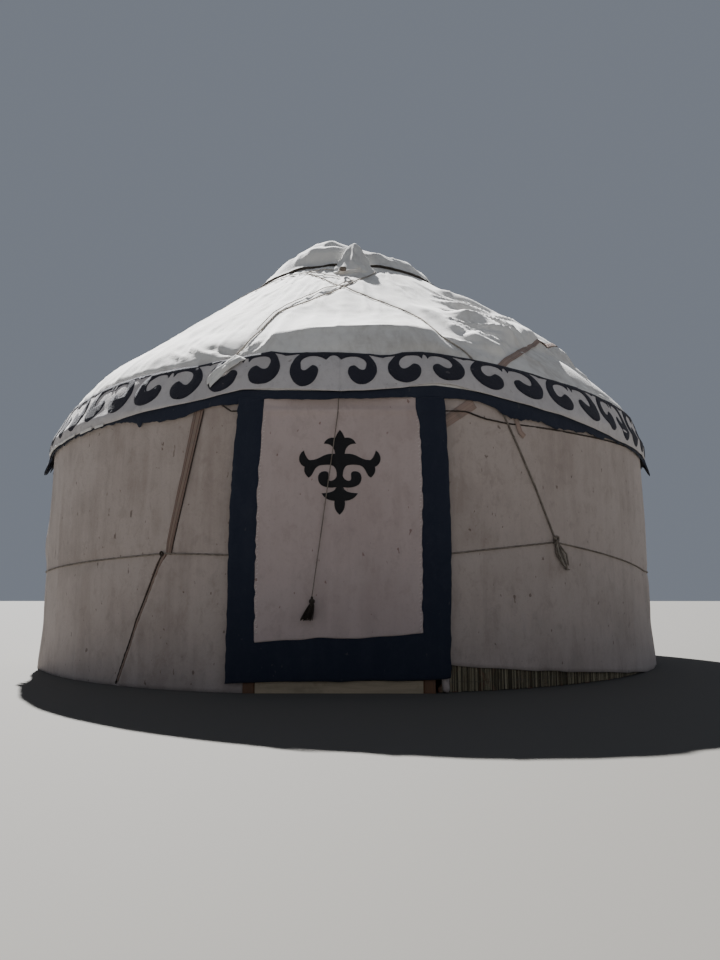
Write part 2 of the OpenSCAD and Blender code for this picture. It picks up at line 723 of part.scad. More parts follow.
// Cord and tassel that hang in front of the flap
tassel_top = [-168, -panel_front - 30 - seat * 2 - ornament_t, 590];
cord_exit = hem_r + 0.3;
tassel_route = [
    [-13, -flap_mid - cord_exit * cos(20), eave_rope_z - cord_exit * sin(20)],
    [-13, -flap_mid - (cord_exit + 8) * cos(20), eave_rope_z - (cord_exit + 8) * sin(20)],
    [-14, -panel_front - 12, eave_rope_z - 20],
    [-16, -panel_front - 12, 1740],
    [-22, -panel_front - 12, 1700],
    [-29, -panel_front - 12, 1640],
    [-37, -panel_front - 12, 1580],
    [-49, -panel_front - 12, 1490],
    [-61, -panel_front - 12, 1400],
    [-76, -panel_front - 12, 1290],
    [-91, -panel_front - 12, 1180],
    [-105, -panel_front - 13, 1070],
    [-118, -panel_front - 15, 970],
    [-131, -panel_front - 18, 875],
    [-143, -panel_front - 21, 780],
    [-152, -panel_front - 25, 715],
    [-160, -panel_front - 28, 650],
    [-165, -panel_front - 30, 615],
    [-168, tassel_top[1], 590 + 2 * seat]
];

module tassel_cord() {
    color("dimgray") rope(tassel_route, cord_r);
}

module tassel() {
    color("black") translate(tassel_top) mirror([0, 0, 1]) {
        cylinder(h = 20, r = 8, $fn = round_fn);
        translate([0, 0, 20]) sphere(r = 18);
        translate([0, 0, 30]) cylinder(h = tassel_l - 30, r1 = 14, r2 = tassel_r);
    }
}

left_jamb();
right_jamb();
lintel();
threshold();
lattice(lattice_from, 90);  // lattice_front_right
lattice(90.1, 180);  // lattice_back_right
lattice(180.1, 270);  // lattice_back_left
lattice(270.1, 360 - lattice_from);  // lattice_front_left
roof_poles(-quarter / 2, quarter / 2 - 1);  // roof_poles_front
roof_poles(quarter / 2, quarter * 3 / 2 - 1);  // roof_poles_right
roof_poles(quarter * 3 / 2, quarter * 5 / 2 - 1);  // roof_poles_back
roof_poles(quarter * 5 / 2, quarter * 7 / 2 - 1);  // roof_poles_left
crown_ring();
crown_slats();
reed_screen(lattice_from, 180 - seam_gap);  // reed_screen_right
reed_screen(180, 360 - lattice_from);  // reed_screen_left
wall_felt_front_right();
wall_felt(seam, 180 - seam_gap);  // wall_felt_back_right
wall_felt(180, 360 - seam - seam_gap);  // wall_felt_back_left
wall_felt_front_left();
roof_cover(-90, 90 - seam_gap);  // roof_cover_front
roof_cover(90, 270 - seam_gap);  // roof_cover_back
crown_cover();
eave_band(0, 180 - seam_gap);  // eave_band_right
eave_band(180, 360 - seam_gap);  // eave_band_left
scrolls(0, pair_count / 2 - 1);  // scrolls_right
scrolls(pair_count / 2, pair_count - 1);  // scrolls_left
skirt(0, 180 - seam_gap);  // skirt_right
skirt(180, 360 - seam_gap);  // skirt_left
eave_rope();
wall_rope();
wall_strap(strap_top, strap_foot);  // left_strap
wall_strap(right_strap_top, right_strap_foot);  // right_strap
left_tie();
right_tie();
long_rope(0);  // roof_rope_long
cross_rope(0);  // roof_rope_cross
long_rope(180);  // roof_rope_back
cross_rope(180);  // roof_rope_back_cross
roof_strap();
crown_gather();
door_flap();
flap_panel();
flap_ornament();
tassel_cord();
tassel();
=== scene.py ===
# A felt tent dressed over its fixed frame: canvas, felts, band, ropes, reeds and tassel.
import json
import math

import bmesh
import bpy
import numpy as np
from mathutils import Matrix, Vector


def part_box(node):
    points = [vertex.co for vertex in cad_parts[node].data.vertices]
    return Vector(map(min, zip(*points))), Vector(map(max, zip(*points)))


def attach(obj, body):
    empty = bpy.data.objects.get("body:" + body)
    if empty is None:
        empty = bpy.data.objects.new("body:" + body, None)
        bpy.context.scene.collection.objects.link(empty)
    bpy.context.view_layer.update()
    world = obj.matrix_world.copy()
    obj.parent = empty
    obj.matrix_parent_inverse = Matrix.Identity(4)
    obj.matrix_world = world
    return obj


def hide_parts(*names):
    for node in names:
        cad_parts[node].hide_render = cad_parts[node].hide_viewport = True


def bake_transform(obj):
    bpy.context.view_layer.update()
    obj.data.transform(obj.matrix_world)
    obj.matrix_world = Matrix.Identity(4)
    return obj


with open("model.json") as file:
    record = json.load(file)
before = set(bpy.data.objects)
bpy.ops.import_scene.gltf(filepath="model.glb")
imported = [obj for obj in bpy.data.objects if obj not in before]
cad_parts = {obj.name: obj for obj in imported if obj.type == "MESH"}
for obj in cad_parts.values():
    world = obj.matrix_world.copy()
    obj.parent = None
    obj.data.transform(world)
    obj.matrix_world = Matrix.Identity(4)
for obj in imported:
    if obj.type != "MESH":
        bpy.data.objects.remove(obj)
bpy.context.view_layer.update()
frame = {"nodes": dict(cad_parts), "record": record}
nodes = frame["nodes"]
print("frame loaded:", len(nodes), "nodes")


# The camera stands at the photograph's place, low and a little to the right of the door
view = {"lens": 27, "place": (0.1533, -7.3184, 0.62), "pitch": 98.8, "turn": 0.3}
cameraData = bpy.data.cameras.new("camera")
cameraData.lens = view["lens"]
cameraData.sensor_width = 36
camera = bpy.data.objects.new("camera", cameraData)
bpy.context.scene.collection.objects.link(camera)
camera.location = view["place"]
camera.rotation_euler = (math.radians(view["pitch"]), 0, math.radians(view["turn"]))
bpy.context.scene.camera = camera


def sine(degrees):
    return np.sin(np.radians(degrees))


def cosine(degrees):
    return np.cos(np.radians(degrees))


# The tent's lines in metres, as the frame has them
wallR = -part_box("wall_felt_back_left")[0].x
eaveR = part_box("roof_cover_back")[1].x
seat = 0.0004  # clearance between cloths that lie on each other
roofShape = {"shoulderTilt": 65, "roofTilt": 39, "kneeRise": 0.435, "kneeRound": 0.3, "thick": 0.014}
shoulderTilt, roofTilt = math.radians(roofShape["shoulderTilt"]), math.radians(roofShape["roofTilt"])
shoulderSteep = math.tan(shoulderTilt)
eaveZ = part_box("roof_cover_back")[0].z + roofShape["thick"] * math.cos(shoulderTilt)
kneeR = roofShape["kneeRound"] / math.tan((shoulderTilt - roofTilt) / 2)
shoulderLength = roofShape["kneeRise"] / math.sin(shoulderTilt) - roofShape["kneeRound"]
kneeLength = kneeR * (shoulderTilt - roofTilt)
kneeFrom = 90 - roofShape["shoulderTilt"]
kneeCentreR = (eaveR - roofShape["kneeRise"] / shoulderSteep
               + roofShape["kneeRound"] * math.cos(shoulderTilt) - kneeR * cosine(kneeFrom))
kneeCentreZ = (eaveZ + roofShape["kneeRise"]
               - roofShape["kneeRound"] * math.sin(shoulderTilt) - kneeR * sine(kneeFrom))


# Radius and height of the roof at a length up the slope and a lift off its outer face
def roofAt(slope, lift=0.0):
    slope = np.asarray(slope, float)
    turn = kneeFrom + np.degrees(np.clip(slope - shoulderLength, 0, kneeLength) / kneeR)
    low = np.minimum(slope - shoulderLength, 0)
    high = np.maximum(slope - shoulderLength - kneeLength, 0)
    radius = (kneeCentreR + (kneeR + lift) * cosine(turn)
              - low * math.cos(shoulderTilt) - high * math.cos(roofTilt))
    height = (kneeCentreZ + (kneeR + lift) * sine(turn)
              + low * math.sin(shoulderTilt) + high * math.sin(roofTilt))
    return radius, height


# Length up the slope at which the roof has a radius
def slopeAt(radius):
    slopes = np.linspace(0, 3.2, 1601)
    return np.interp(-np.asarray(radius, float), -roofAt(slopes)[0], slopes)


# Points at a radius, a bearing from the door towards +X, and a height
def around(radius, bearing, height):
    radius, bearing, height = np.broadcast_arrays(
        np.asarray(radius, float), np.asarray(bearing, float), np.asarray(height, float))
    return np.stack([radius * sine(bearing), -radius * cosine(bearing), height], -1)


def onRoof(bearing, slope, lift):
    radius, height = roofAt(slope, lift)
    return around(radius, bearing, height)


def onWall(bearing, height, lift):
    return around(wallR + lift, bearing, height)


# From 0 at low to 1 at high, with eased ends
def smooth(low, high, value):
    share = np.clip((np.asarray(value, float) - low) / (high - low), 0, 1)
    return share * share * (3 - 2 * share)


# A soft bump: 1 at the middle value, and near 0 at twice its half width
def bell(value, middle, wide):
    return np.exp(-((np.asarray(value, float) - middle) / wide) ** 2)


# Smooth noise from -1 to 1. With wrap the first coordinate repeats after that many cells.
def wander(across, along, seed, wrap=0):
    table = np.random.default_rng(seed).random((256, 256)) * 2 - 1
    across, along = np.broadcast_arrays(np.asarray(across, float), np.asarray(along, float))
    column, row = np.floor(across).astype(int), np.floor(along).astype(int)
    partU, partV = across - column, along - row
    partU = partU * partU * (3 - 2 * partU)
    partV = partV * partV * (3 - 2 * partV)
    nextColumn = column + 1
    if wrap:
        column, nextColumn = column % wrap, nextColumn % wrap
    a, b = table[column % 256, row % 256], table[nextColumn % 256, row % 256]
    c, d = table[column % 256, (row + 1) % 256], table[nextColumn % 256, (row + 1) % 256]
    return (a * (1 - partU) + b * partU) * (1 - partV) + (c * (1 - partU) + d * partU) * partV


# Meshes

# A mesh with a lay at each point: places across and along the cloth or rope, for its finish
def addPiece(name, points, faces, lay, shade=True):
    mesh = bpy.data.meshes.new(name)
    mesh.from_pydata(np.asarray(points, float).reshape(-1, 3).tolist(), [], [list(f) for f in faces])
    mesh.update()
    layer = mesh.attributes.new("lay", "FLOAT_VECTOR", "POINT")
    layer.data.foreach_set("vector", np.asarray(lay, np.float32).ravel())
    mesh.polygons.foreach_set("use_smooth", [shade] * len(mesh.polygons))
    made = bpy.data.objects.new(name, mesh)
    bpy.context.scene.collection.objects.link(made)
    return made


def gridQuads(rows, columns, offset=0, flip=False):
    row, column = np.meshgrid(np.arange(rows - 1), np.arange(columns - 1), indexing="ij")
    start = (row * columns + column).ravel() + offset
    quads = np.stack([start, start + 1, start + columns + 1, start + columns], 1)
    return quads[:, ::-1] if flip else quads


def gridNormals(grid):
    across = np.gradient(grid, axis=1)
    up = np.gradient(grid, axis=0)
    normal = np.cross(across, up)
    return normal / np.maximum(np.linalg.norm(normal, axis=-1, keepdims=True), 1e-9)


plump = 0.35  # how far a cloth's edge rounds out, as a share of its thickness


# A closed cloth: its outer face is a grid of points, rows going up and columns to the right
def addCloth(name, grid, thick, lay):
    rows, columns = grid.shape[:2]
    thickness = np.broadcast_to(np.asarray(thick, float), (rows, columns))[..., None]
    inner = grid - gridNormals(grid) * thickness
    index = np.arange(rows * columns).reshape(rows, columns)
    loop = np.concatenate([index[0, :-1], index[:-1, -1], index[-1, :0:-1], index[:0:-1, 0]])
    flat = grid.reshape(-1, 3)
    inside = np.concatenate([index[1, :-1], index[:-1, -2], index[-2, :0:-1], index[:0:-1, 1]])
    outward = flat[loop] - flat[inside]
    outward /= np.maximum(np.linalg.norm(outward, axis=1, keepdims=True), 1e-9)
    edge = ((flat[loop] + inner.reshape(-1, 3)[loop]) / 2
            + outward * thickness.reshape(-1, 1)[loop] * plump)
    count = rows * columns
    faces = [gridQuads(rows, columns), gridQuads(rows, columns, count, True)]
    ring = 2 * count + np.arange(len(loop))
    nextLoop, nextRing = np.roll(loop, -1), np.roll(ring, -1)
    faces.append(np.stack([loop, ring, nextRing, nextLoop], 1))
    faces.append(np.stack([ring, loop + count, nextLoop + count, nextRing], 1))
    points = np.concatenate([flat, inner.reshape(-1, 3), edge])
    flatLay = lay.reshape(-1, 3)
    return addPiece(name, points, np.concatenate(faces), np.concatenate([flatLay, flatLay, flatLay[loop]]))


def layGrid(across, up, third=0.0):
    return np.stack(np.broadcast_arrays(across, up, np.asarray(third, float)), -1)


# Length of the way from a path's start to each of its places, and points at given lengths
def lengthsAlong(path):
    return np.concatenate([[0], np.cumsum(np.linalg.norm(np.diff(path, axis=0), axis=1))])


def pointsAt(path, lengths, at):
    return np.stack([np.interp(at, lengths, path[:, k]) for k in range(path.shape[1])], 1)


# Points along a path at even steps, with the direction and two sideways axes at each
def runAlong(path, step, up=None):
    path = np.asarray(path, float)
    lengths = lengthsAlong(path)
    count = max(2, int(round(lengths[-1] / step)) + 1)
    at = np.linspace(0, lengths[-1], count)
    points = pointsAt(path, lengths, at)
    ahead = np.gradient(points, axis=0)
    ahead /= np.linalg.norm(ahead, axis=1, keepdims=True)
    side = np.zeros_like(points)
    if up is None:
        first = np.cross(ahead[0], [0, 0, 1] if abs(ahead[0][2]) < 0.9 else [1, 0, 0])
        side[0] = first / np.linalg.norm(first)
        for k in range(1, count):
            turned = side[k - 1] - ahead[k] * np.dot(side[k - 1], ahead[k])
            side[k] = turned / np.linalg.norm(turned)
    else:
        outwards = up(points)
        side = np.cross(ahead, outwards)
        side /= np.linalg.norm(side, axis=1, keepdims=True)
    return at, points, ahead, side, np.cross(side, ahead)


# Faces of a tube of rings with so many points each, from the point number start on, with its ends closed
def tubeFaces(rings, sides, start=0, flip=False, closedFoot=True):
    faces = []
    for ring in range(rings - 1):
        for j in range(sides):
            a, b = ring * sides + j, ring * sides + (j + 1) % sides
            faces.append([a, b, b + sides, a + sides])
    if closedFoot:
        faces.append(list(range(sides))[::-1])
    faces.append([(rings - 1) * sides + j for j in range(sides)])
    return [[index + start for index in (face[::-1] if flip else face)] for face in faces]


# A laid rope: strands that turn round each other
def ropeShape(path, radius, pitch=0.05, step=0.011, strands=3, sides=9):
    at, points, ahead, side, up = runAlong(path, step)
    rings, lay = [], []
    for k in range(len(at)):
        twist = 2 * math.pi * at[k] / pitch
        for j in range(sides):
            turn = 2 * math.pi * j / sides
            swell = radius * (0.9 + 0.13 * math.cos(strands * turn - twist))
            if k in (0, len(at) - 1):
                swell *= 0.7
            rings.append(points[k] + swell * (math.cos(turn) * side[k] + math.sin(turn) * up[k]))
            lay.append((at[k], turn / (2 * math.pi), 0))
    return rings, tubeFaces(len(at), sides), lay


def joinShapes(shapes):
    points, faces, lay = [], [], []
    for shape in shapes:
        start = len(points)
        points += list(shape[0])
        faces += [[index + start for index in face] for face in shape[1]]
        lay += list(shape[2])
    return points, faces, lay


def addRope(name, paths, radius, **settings):
    points, faces, lay = joinShapes([ropeShape(path, radius, **settings) for path in paths])
    return addPiece(name, points, faces, lay)


def outFromAxis(points):
    outward = points * np.array([1, 1, 0])
    return outward / np.linalg.norm(outward, axis=1, keepdims=True)


# A flat band of cloth along a path, facing the way that up gives. Narrow is its width at the far end.
def addStrap(name, path, wide, thick, up, step=0.02, across=7, crease=0.0015, seed=5, narrow=None):
    at, points, ahead, side, out = runAlong(path, step, up)
    share = np.linspace(-0.5, 0.5, across)
    ripple = crease * wander(at[:, None] / 0.05, share[None] * 4, seed)
    width = wide + ((narrow or wide) - wide) * at / at[-1] + 0.0016 * wander(at / 0.03, 0.5, seed + 1)
    grid = (points[:, None] + side[:, None] * (share[None, :, None] * width[:, None, None])
            + out[:, None] * (thick + ripple)[..., None])
    lay = layGrid(share[None] * wide + 0 * at[:, None], at[:, None])
    return addCloth(name, grid, thick, lay)


def dress(piece, body, finish, replaced=()):
    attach(piece, body)
    if replaced:
        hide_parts(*replaced)
    piece.data.materials.clear()
    piece.data.materials.append(finish)
    return piece


# Materials: a wire is one socket, and sums on wires add the nodes

class Wire:
    def __init__(self, finish, socket):
        self.finish = finish
        self.socket = socket

    def maths(self, operation, *values):
        return self.finish.node("ShaderNodeMath", {"operation": operation}, values)

    def __add__(self, other):
        return self.maths("ADD", self, other)

    __radd__ = __add__

    def __sub__(self, other):
        return self.maths("SUBTRACT", self, other)

    def __rsub__(self, other):
        return self.maths("SUBTRACT", other, self)

    def __mul__(self, other):
        return self.maths("MULTIPLY", self, other)

    __rmul__ = __mul__

    def __truediv__(self, other):
        return self.maths("DIVIDE", self, other)


class Finish:
    def __init__(self, name):
        self.material = bpy.data.materials.new(name)
        self.material.use_nodes = True
        self.tree = self.material.node_tree
        self.shader = self.tree.nodes["Principled BSDF"]

    def node(self, kind, settings=None, values=(), output=0):
        made = self.tree.nodes.new(kind)
        for key, setting in (settings or {}).items():
            setattr(made, key, setting)
        pairs = values.items() if isinstance(values, dict) else enumerate(values)
        for key, value in pairs:
            self.feed(made.inputs[key], value)
        return Wire(self, made.outputs[output])

    def feed(self, socket, value):
        if isinstance(value, Wire):
            self.tree.links.new(value.socket, socket)
        else:
            socket.default_value = value

    def place(self, scale=(1, 1, 1)):
        where = self.node("ShaderNodeTexCoord", output="Object")
        return self.node("ShaderNodeVectorMath", {"operation": "MULTIPLY"}, (where, scale))

    def lay(self, scale=(1, 1, 1)):
        where = self.node("ShaderNodeAttribute", {"attribute_name": "lay"}, output="Vector")
        return self.node("ShaderNodeVectorMath", {"operation": "MULTIPLY"}, (where, scale))

    def axis(self, vector, name):
        return self.node("ShaderNodeSeparateXYZ", None, (vector,), name)

    def clouds(self, where, scale, detail, rough, bend=0.0):
        return self.node("ShaderNodeTexNoise", None, {"Vector": where, "Scale": scale, "Detail": detail,
                                                      "Roughness": rough, "Distortion": bend}, "Fac")

    def between(self, value, low, high):
        return self.node("ShaderNodeMapRange", {"interpolation_type": "SMOOTHSTEP"},
                         {"Value": value, "From Min": low, "From Max": high}, "Result")

    def blend(self, share, first, second):
        return self.node("ShaderNodeMix", {"data_type": "RGBA"}, {0: share, 6: first, 7: second}, 2)

    def relief(self, height, depth, strength, normal=None):
        values = {"Height": height, "Distance": depth, "Strength": strength}
        if normal is not None:
            values["Normal"] = normal
        return self.node("ShaderNodeBump", None, values, "Normal")

    def set(self, **values):
        for key, value in values.items():
            self.feed(self.shader.inputs[key.replace("_", " ")], value)
        return self.material


def tint(red, green, blue):
    return (red, green, blue, 1)


fullWave = 6.28  # one wave of a thread


# Cotton canvas: a fine weave, soft stains and the odd spot
def canvasFinish(name, clean, stained, weave=260):
    finish = Finish(name)
    broad = finish.clouds(finish.place(), 1.3, 4, 0.6)
    fine = finish.clouds(finish.place(), 14, 5, 0.7)
    streaks = finish.clouds(finish.place((7, 7, 1.2)), 1.6, 4, 0.6, 0.4)
    soil = finish.between(broad * 0.6 + streaks * 0.5, 0.5, 0.78)
    colour = finish.blend(soil * 0.75, clean, stained)
    spots = finish.between(finish.clouds(finish.place(), 5.5, 2, 0.5), 0.7, 0.76)
    colour = finish.blend(spots * 0.25, colour, stained)
    colour = finish.blend((fine - 0.35) * 0.35, colour, tint(0.36, 0.33, 0.3))
    across = finish.axis(finish.lay(), "X") * weave * fullWave
    up = finish.axis(finish.lay(), "Y") * weave * fullWave
    cloth = across.maths("SINE", across) * 0.5 + up.maths("SINE", up) * 0.5
    slubs = finish.clouds(finish.lay((30, 240, 1)), 1.0, 3, 0.6)
    normal = finish.relief(cloth, 0.0003, 0.35)
    normal = finish.relief(slubs, 0.0016, 0.5, normal)
    normal = finish.relief(fine, 0.004, 0.35, normal)
    return finish.set(Base_Color=colour, Roughness=0.92, Normal=normal, Sheen_Weight=0.15)


# Pressed felt: mottled wool with flecks of darker hair, stains that run down and a fuzzy face
def feltFinish(name, clean, soiled, fleck, mottle=0.6, sheen=0.25):
    finish = Finish(name)
    broad = finish.clouds(finish.place(), 1.7, 5, 0.62)
    runs = finish.clouds(finish.place((9, 9, 0.9)), 1.0, 4, 0.6, 0.5)
    wool = finish.clouds(finish.place(), 55, 5, 0.75)
    tufts = finish.clouds(finish.place(), 420, 3, 0.7)
    blots = finish.clouds(finish.place((1, 1, 0.7)), 12, 5, 0.7, 0.4)
    dirt = finish.between(broad * 0.6 + runs * 0.4, 0.42, 0.68)
    colour = finish.blend(dirt * mottle, clean, soiled)
    colour = finish.blend(finish.between(blots, 0.48, 0.7) * 0.45, colour, soiled)
    colour = finish.blend(finish.between(wool, 0.5, 0.75) * 0.4, colour, soiled)
    flecks = finish.between(finish.clouds(finish.place((1, 1, 0.6)), 26, 2, 0.5, 0.3), 0.70, 0.74)
    colour = finish.blend(flecks * 0.7, colour, fleck)
    normal = finish.relief(blots, 0.012, 0.5)
    normal = finish.relief(wool, 0.006, 0.6, normal)
    normal = finish.relief(tufts, 0.001, 0.6, normal)
    return finish.set(Base_Color=colour, Roughness=0.96, Normal=normal,
                      Sheen_Weight=sheen, Sheen_Roughness=0.6)


# Hair rope: strands laid slantwise, with lighter and darker hairs
def ropeFinish(name, light, dark):
    finish = Finish(name)
    hairs = finish.clouds(finish.lay((260, 9, 1)), 1.0, 4, 0.7, 0.6)
    patches = finish.clouds(finish.place(), 16, 3, 0.6)
    colour = finish.blend(finish.between(hairs * 0.6 + patches * 0.5, 0.38, 0.7), dark, light)
    normal = finish.relief(hairs, 0.0012, 0.7)
    return finish.set(Base_Color=colour, Roughness=0.93, Normal=normal)


# Woven band: stripes along it and ribs across it
def wovenFinish(name, ground, stripe, edge, wide, rib=0.004, thread=0.003):
    finish = Finish(name)
    across = finish.axis(finish.lay(), "X")
    along = finish.axis(finish.lay(), "Y")
    side = across.maths("ABSOLUTE", across) / (wide / 2)
    stripes = finish.between(side, 0.42, 0.5) * (1 - finish.between(side, 0.62, 0.7))
    border = finish.between(side, 0.84, 0.9)
    colour = finish.blend(stripes, ground, stripe)
    colour = finish.blend(border, colour, edge)
    worn = finish.clouds(finish.place(), 12, 4, 0.65)
    colour = finish.blend(finish.between(worn, 0.45, 0.75) * 0.6, colour, tint(0.2, 0.17, 0.15))
    ribs = along.maths("SINE", along * (fullWave / rib))
    threads = across.maths("SINE", across * (fullWave / thread))
    normal = finish.relief(ribs * threads, 0.0006, 0.6)
    return finish.set(Base_Color=colour, Roughness=0.9, Normal=normal)


# Painted or bare wood with grain that follows the piece, and paint rubbed off on its edges
def woodFinish(name, paint, bare, worn=0.5, stretch=(1, 1, 14)):
    finish = Finish(name)
    grainPlace = tuple(30 / s for s in stretch)
    grain = finish.clouds(finish.place(grainPlace), 1.0, 5, 0.6, 1.2)
    rings = finish.between(grain, 0.35, 0.65)
    base = finish.blend(rings * 0.5, paint, tint(*[c * 0.6 for c in paint[:3]]))
    rubbed = finish.between(finish.clouds(finish.place(), 11, 5, 0.7), 0.56, 0.68)
    colour = finish.blend(rubbed * worn, base, bare)
    grime = finish.between(finish.clouds(finish.place(), 3, 4, 0.6), 0.5, 0.8)
    colour = finish.blend(grime * 0.4, colour, tint(0.06, 0.045, 0.035))
    normal = finish.relief(grain, 0.002, 0.4)
    rough = rubbed * 0.25 + 0.5
    return finish.set(Base_Color=colour, Roughness=rough, Normal=normal)


# Reeds: each straw has its own shade, with darker joints
def reedFinish(name):
    finish = Finish(name)
    straw = finish.axis(finish.lay(), "X")
    shade = finish.node("ShaderNodeTexWhiteNoise", {"noise_dimensions": "1D"}, {"W": straw}, "Value")
    colour = finish.blend(finish.between(shade, 0.35, 1.0), tint(0.075, 0.06, 0.035), tint(0.6, 0.53, 0.36))
    fibres = finish.clouds(finish.place((300, 300, 6)), 1.0, 3, 0.6)
    colour = finish.blend(finish.between(fibres, 0.5, 0.7) * 0.5, colour, tint(0.24, 0.17, 0.08))
    joints = finish.between(finish.clouds(finish.lay((0, 7, 3)), 1.0, 1, 0.5), 0.66, 0.7)
    colour = finish.blend(joints * 0.6, colour, tint(0.16, 0.1, 0.05))
    return finish.set(Base_Color=colour, Roughness=0.55, Normal=finish.relief(fibres, 0.0006, 0.5))


canvas = canvasFinish("canvas", tint(0.86, 0.84, 0.8), tint(0.52, 0.48, 0.43))
crownCanvas = canvasFinish("crownCanvas", tint(0.76, 0.75, 0.72), tint(0.4, 0.38, 0.35))
wallFelt = feltFinish("wallFelt", tint(0.5, 0.42, 0.38), tint(0.32, 0.25, 0.215),
                      tint(0.12, 0.075, 0.05), 0.7)
panelFelt = feltFinish("panelFelt", tint(0.54, 0.44, 0.42), tint(0.39, 0.3, 0.28), tint(0.2, 0.1, 0.08), 0.55)
bandFelt = feltFinish("bandFelt", tint(0.62, 0.58, 0.57), tint(0.42, 0.38, 0.37), tint(0.3, 0.25, 0.23), 0.45)
scrollFelt = feltFinish("scrollFelt", tint(0.014, 0.014, 0.026), tint(0.024, 0.024, 0.04),
                        tint(0.1, 0.09, 0.1), 0.6, 0.06)
borderFelt = feltFinish("borderFelt", tint(0.012, 0.017, 0.036), tint(0.024, 0.03, 0.05),
                        tint(0.06, 0.06, 0.07), 0.6, 0.05)
ornamentFelt = feltFinish("ornamentFelt", tint(0.011, 0.011, 0.013), tint(0.02, 0.02, 0.022),
                          tint(0.045, 0.045, 0.045), 0.5, 0.05)
hairRope = ropeFinish("hairRope", tint(0.3, 0.26, 0.22), tint(0.1, 0.08, 0.065))
roofRope = ropeFinish("roofRope", tint(0.42, 0.38, 0.33), tint(0.2, 0.17, 0.14))
darkRope = ropeFinish("darkRope", tint(0.06, 0.045, 0.035), tint(0.015, 0.012, 0.01))
wovenStrap = wovenFinish("wovenStrap", tint(0.3, 0.22, 0.18), tint(0.15, 0.08, 0.06),
                         tint(0.24, 0.16, 0.13), 0.06)
paleStrap = wovenFinish("paleStrap", tint(0.4, 0.29, 0.24), tint(0.3, 0.21, 0.18),
                        tint(0.36, 0.26, 0.22), 0.04)
redWood = woodFinish("redWood", tint(0.3, 0.07, 0.04), tint(0.46, 0.34, 0.23), 0.9)
frameWood = woodFinish("frameWood", tint(0.2, 0.1, 0.05), tint(0.34, 0.22, 0.13), 0.4)
thresholdWood = woodFinish("thresholdWood", tint(0.5, 0.4, 0.27), tint(0.32, 0.24, 0.16), 0.5, (14, 1, 1))
reeds = reedFinish("reeds")
print("materials made")

cadFinishes = {"frame_wood": frameWood, "threshold_wood": thresholdWood, "red_wood": redWood}
for subpart in frame["record"]["subparts"]:
    if subpart["material_slot"] in cadFinishes:
        part = nodes[subpart["node"]]
        part.data.materials.clear()
        part.data.materials.append(cadFinishes[subpart["material_slot"]])

# Tassel and its cord, which leaves the rope in the flap's hem at so many degrees below the level
tassel = {"cordR": 0.0035, "cordDown": 20, "strands": 90, "strandR": 0.0019, "length": 0.15,
          "hangsFrom": 0.048, "neckR": 0.014, "footR": 0.036, "swept": 0.032, "headSides": 14}
hemR = 0.013
flapMid = -(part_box("door_flap")[0].y + hemR)
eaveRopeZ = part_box("door_flap")[1].z - hemR
panelFront = -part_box("flap_panel")[0].y
cordExit = hemR + 0.0003
tasselTop = (-0.168, -panelFront - 0.0338, 0.59)

# The cord's way down the panel, the frame's own: sideways place, distance off the panel, height, in metres
cordHangs = [
    (-0.014, 0.012, eaveRopeZ - 0.02), (-0.016, 0.012, 1.74), (-0.022, 0.012, 1.7), (-0.029, 0.012, 1.64),
    (-0.037, 0.012, 1.58), (-0.049, 0.012, 1.49), (-0.061, 0.012, 1.4), (-0.076, 0.012, 1.29),
    (-0.091, 0.012, 1.18), (-0.105, 0.013, 1.07), (-0.118, 0.015, 0.97), (-0.131, 0.018, 0.875),
    (-0.143, 0.021, 0.78), (-0.152, 0.025, 0.715), (-0.160, 0.028, 0.65), (-0.165, 0.03, 0.615),
]
cordRoute = [(-0.013, -flapMid - out * cosine(tassel["cordDown"]), eaveRopeZ - out * sine(tassel["cordDown"]))
             for out in (cordExit, cordExit + 0.008)]
cordRoute += [(x, -panelFront - out, z) for x, out, z in cordHangs]
cordRoute += [tasselTop[:2] + (tasselTop[2] + rise,) for rise in (2 * seat, -0.04)]
cordLay = {"pitch": 0.022, "step": 0.008, "sides": 8}
cordPiece = addRope("tasselCord", [cordRoute], tassel["cordR"], **cordLay)
dress(cordPiece, "flap", hairRope, ["tassel_cord"])

# The tassel's head, from its top down: depth and radius in metres
tasselHead = [(0.0, 0.004), (0.006, 0.0075), (0.016, 0.009), (0.022, 0.0175), (0.034, 0.0185), (0.045, 0.014),
              (0.05, 0.0125), (0.056, 0.0135)]


def tasselShape():
    source = np.random.default_rng(11)
    sides = tassel["headSides"]
    turns = [2 * math.pi * j / sides for j in range(sides)]
    head = [[r * math.cos(turn), r * math.sin(turn), -depth] for depth, r in tasselHead for turn in turns]
    shapes = [(head, tubeFaces(len(tasselHead), sides, flip=True), [(0, 0, 0)] * len(head))]
    for strand in range(tassel["strands"]):
        turn = source.random() * 2 * math.pi
        share = math.sqrt(source.random())
        bend = (source.random() - 0.5) * 0.5
        top, foot = tassel["neckR"] * share, tassel["footR"] * share
        length = tassel["length"] * (0.93 + 0.07 * source.random())
        path = []
        for step in np.linspace(0, 1, 6):
            radius = top + (foot - top) * step ** 0.8
            angle = turn + bend * step
            path.append((radius * 1.15 * math.cos(angle) - tassel["swept"] * step,
                         radius * 0.7 * math.sin(angle),
                         -tassel["hangsFrom"] - (length - tassel["hangsFrom"]) * step))
        shapes.append(ropeShape(path, tassel["strandR"], pitch=0.02, step=0.02, sides=5))
    points, strandFaces, lay = joinShapes(shapes)
    return np.asarray(points) + np.asarray(tasselTop), strandFaces, lay


tasselPiece = dress(addPiece("tasselStrands", *tasselShape()), "flap", darkRope, ["tassel"])
print("cord and tassel hung")

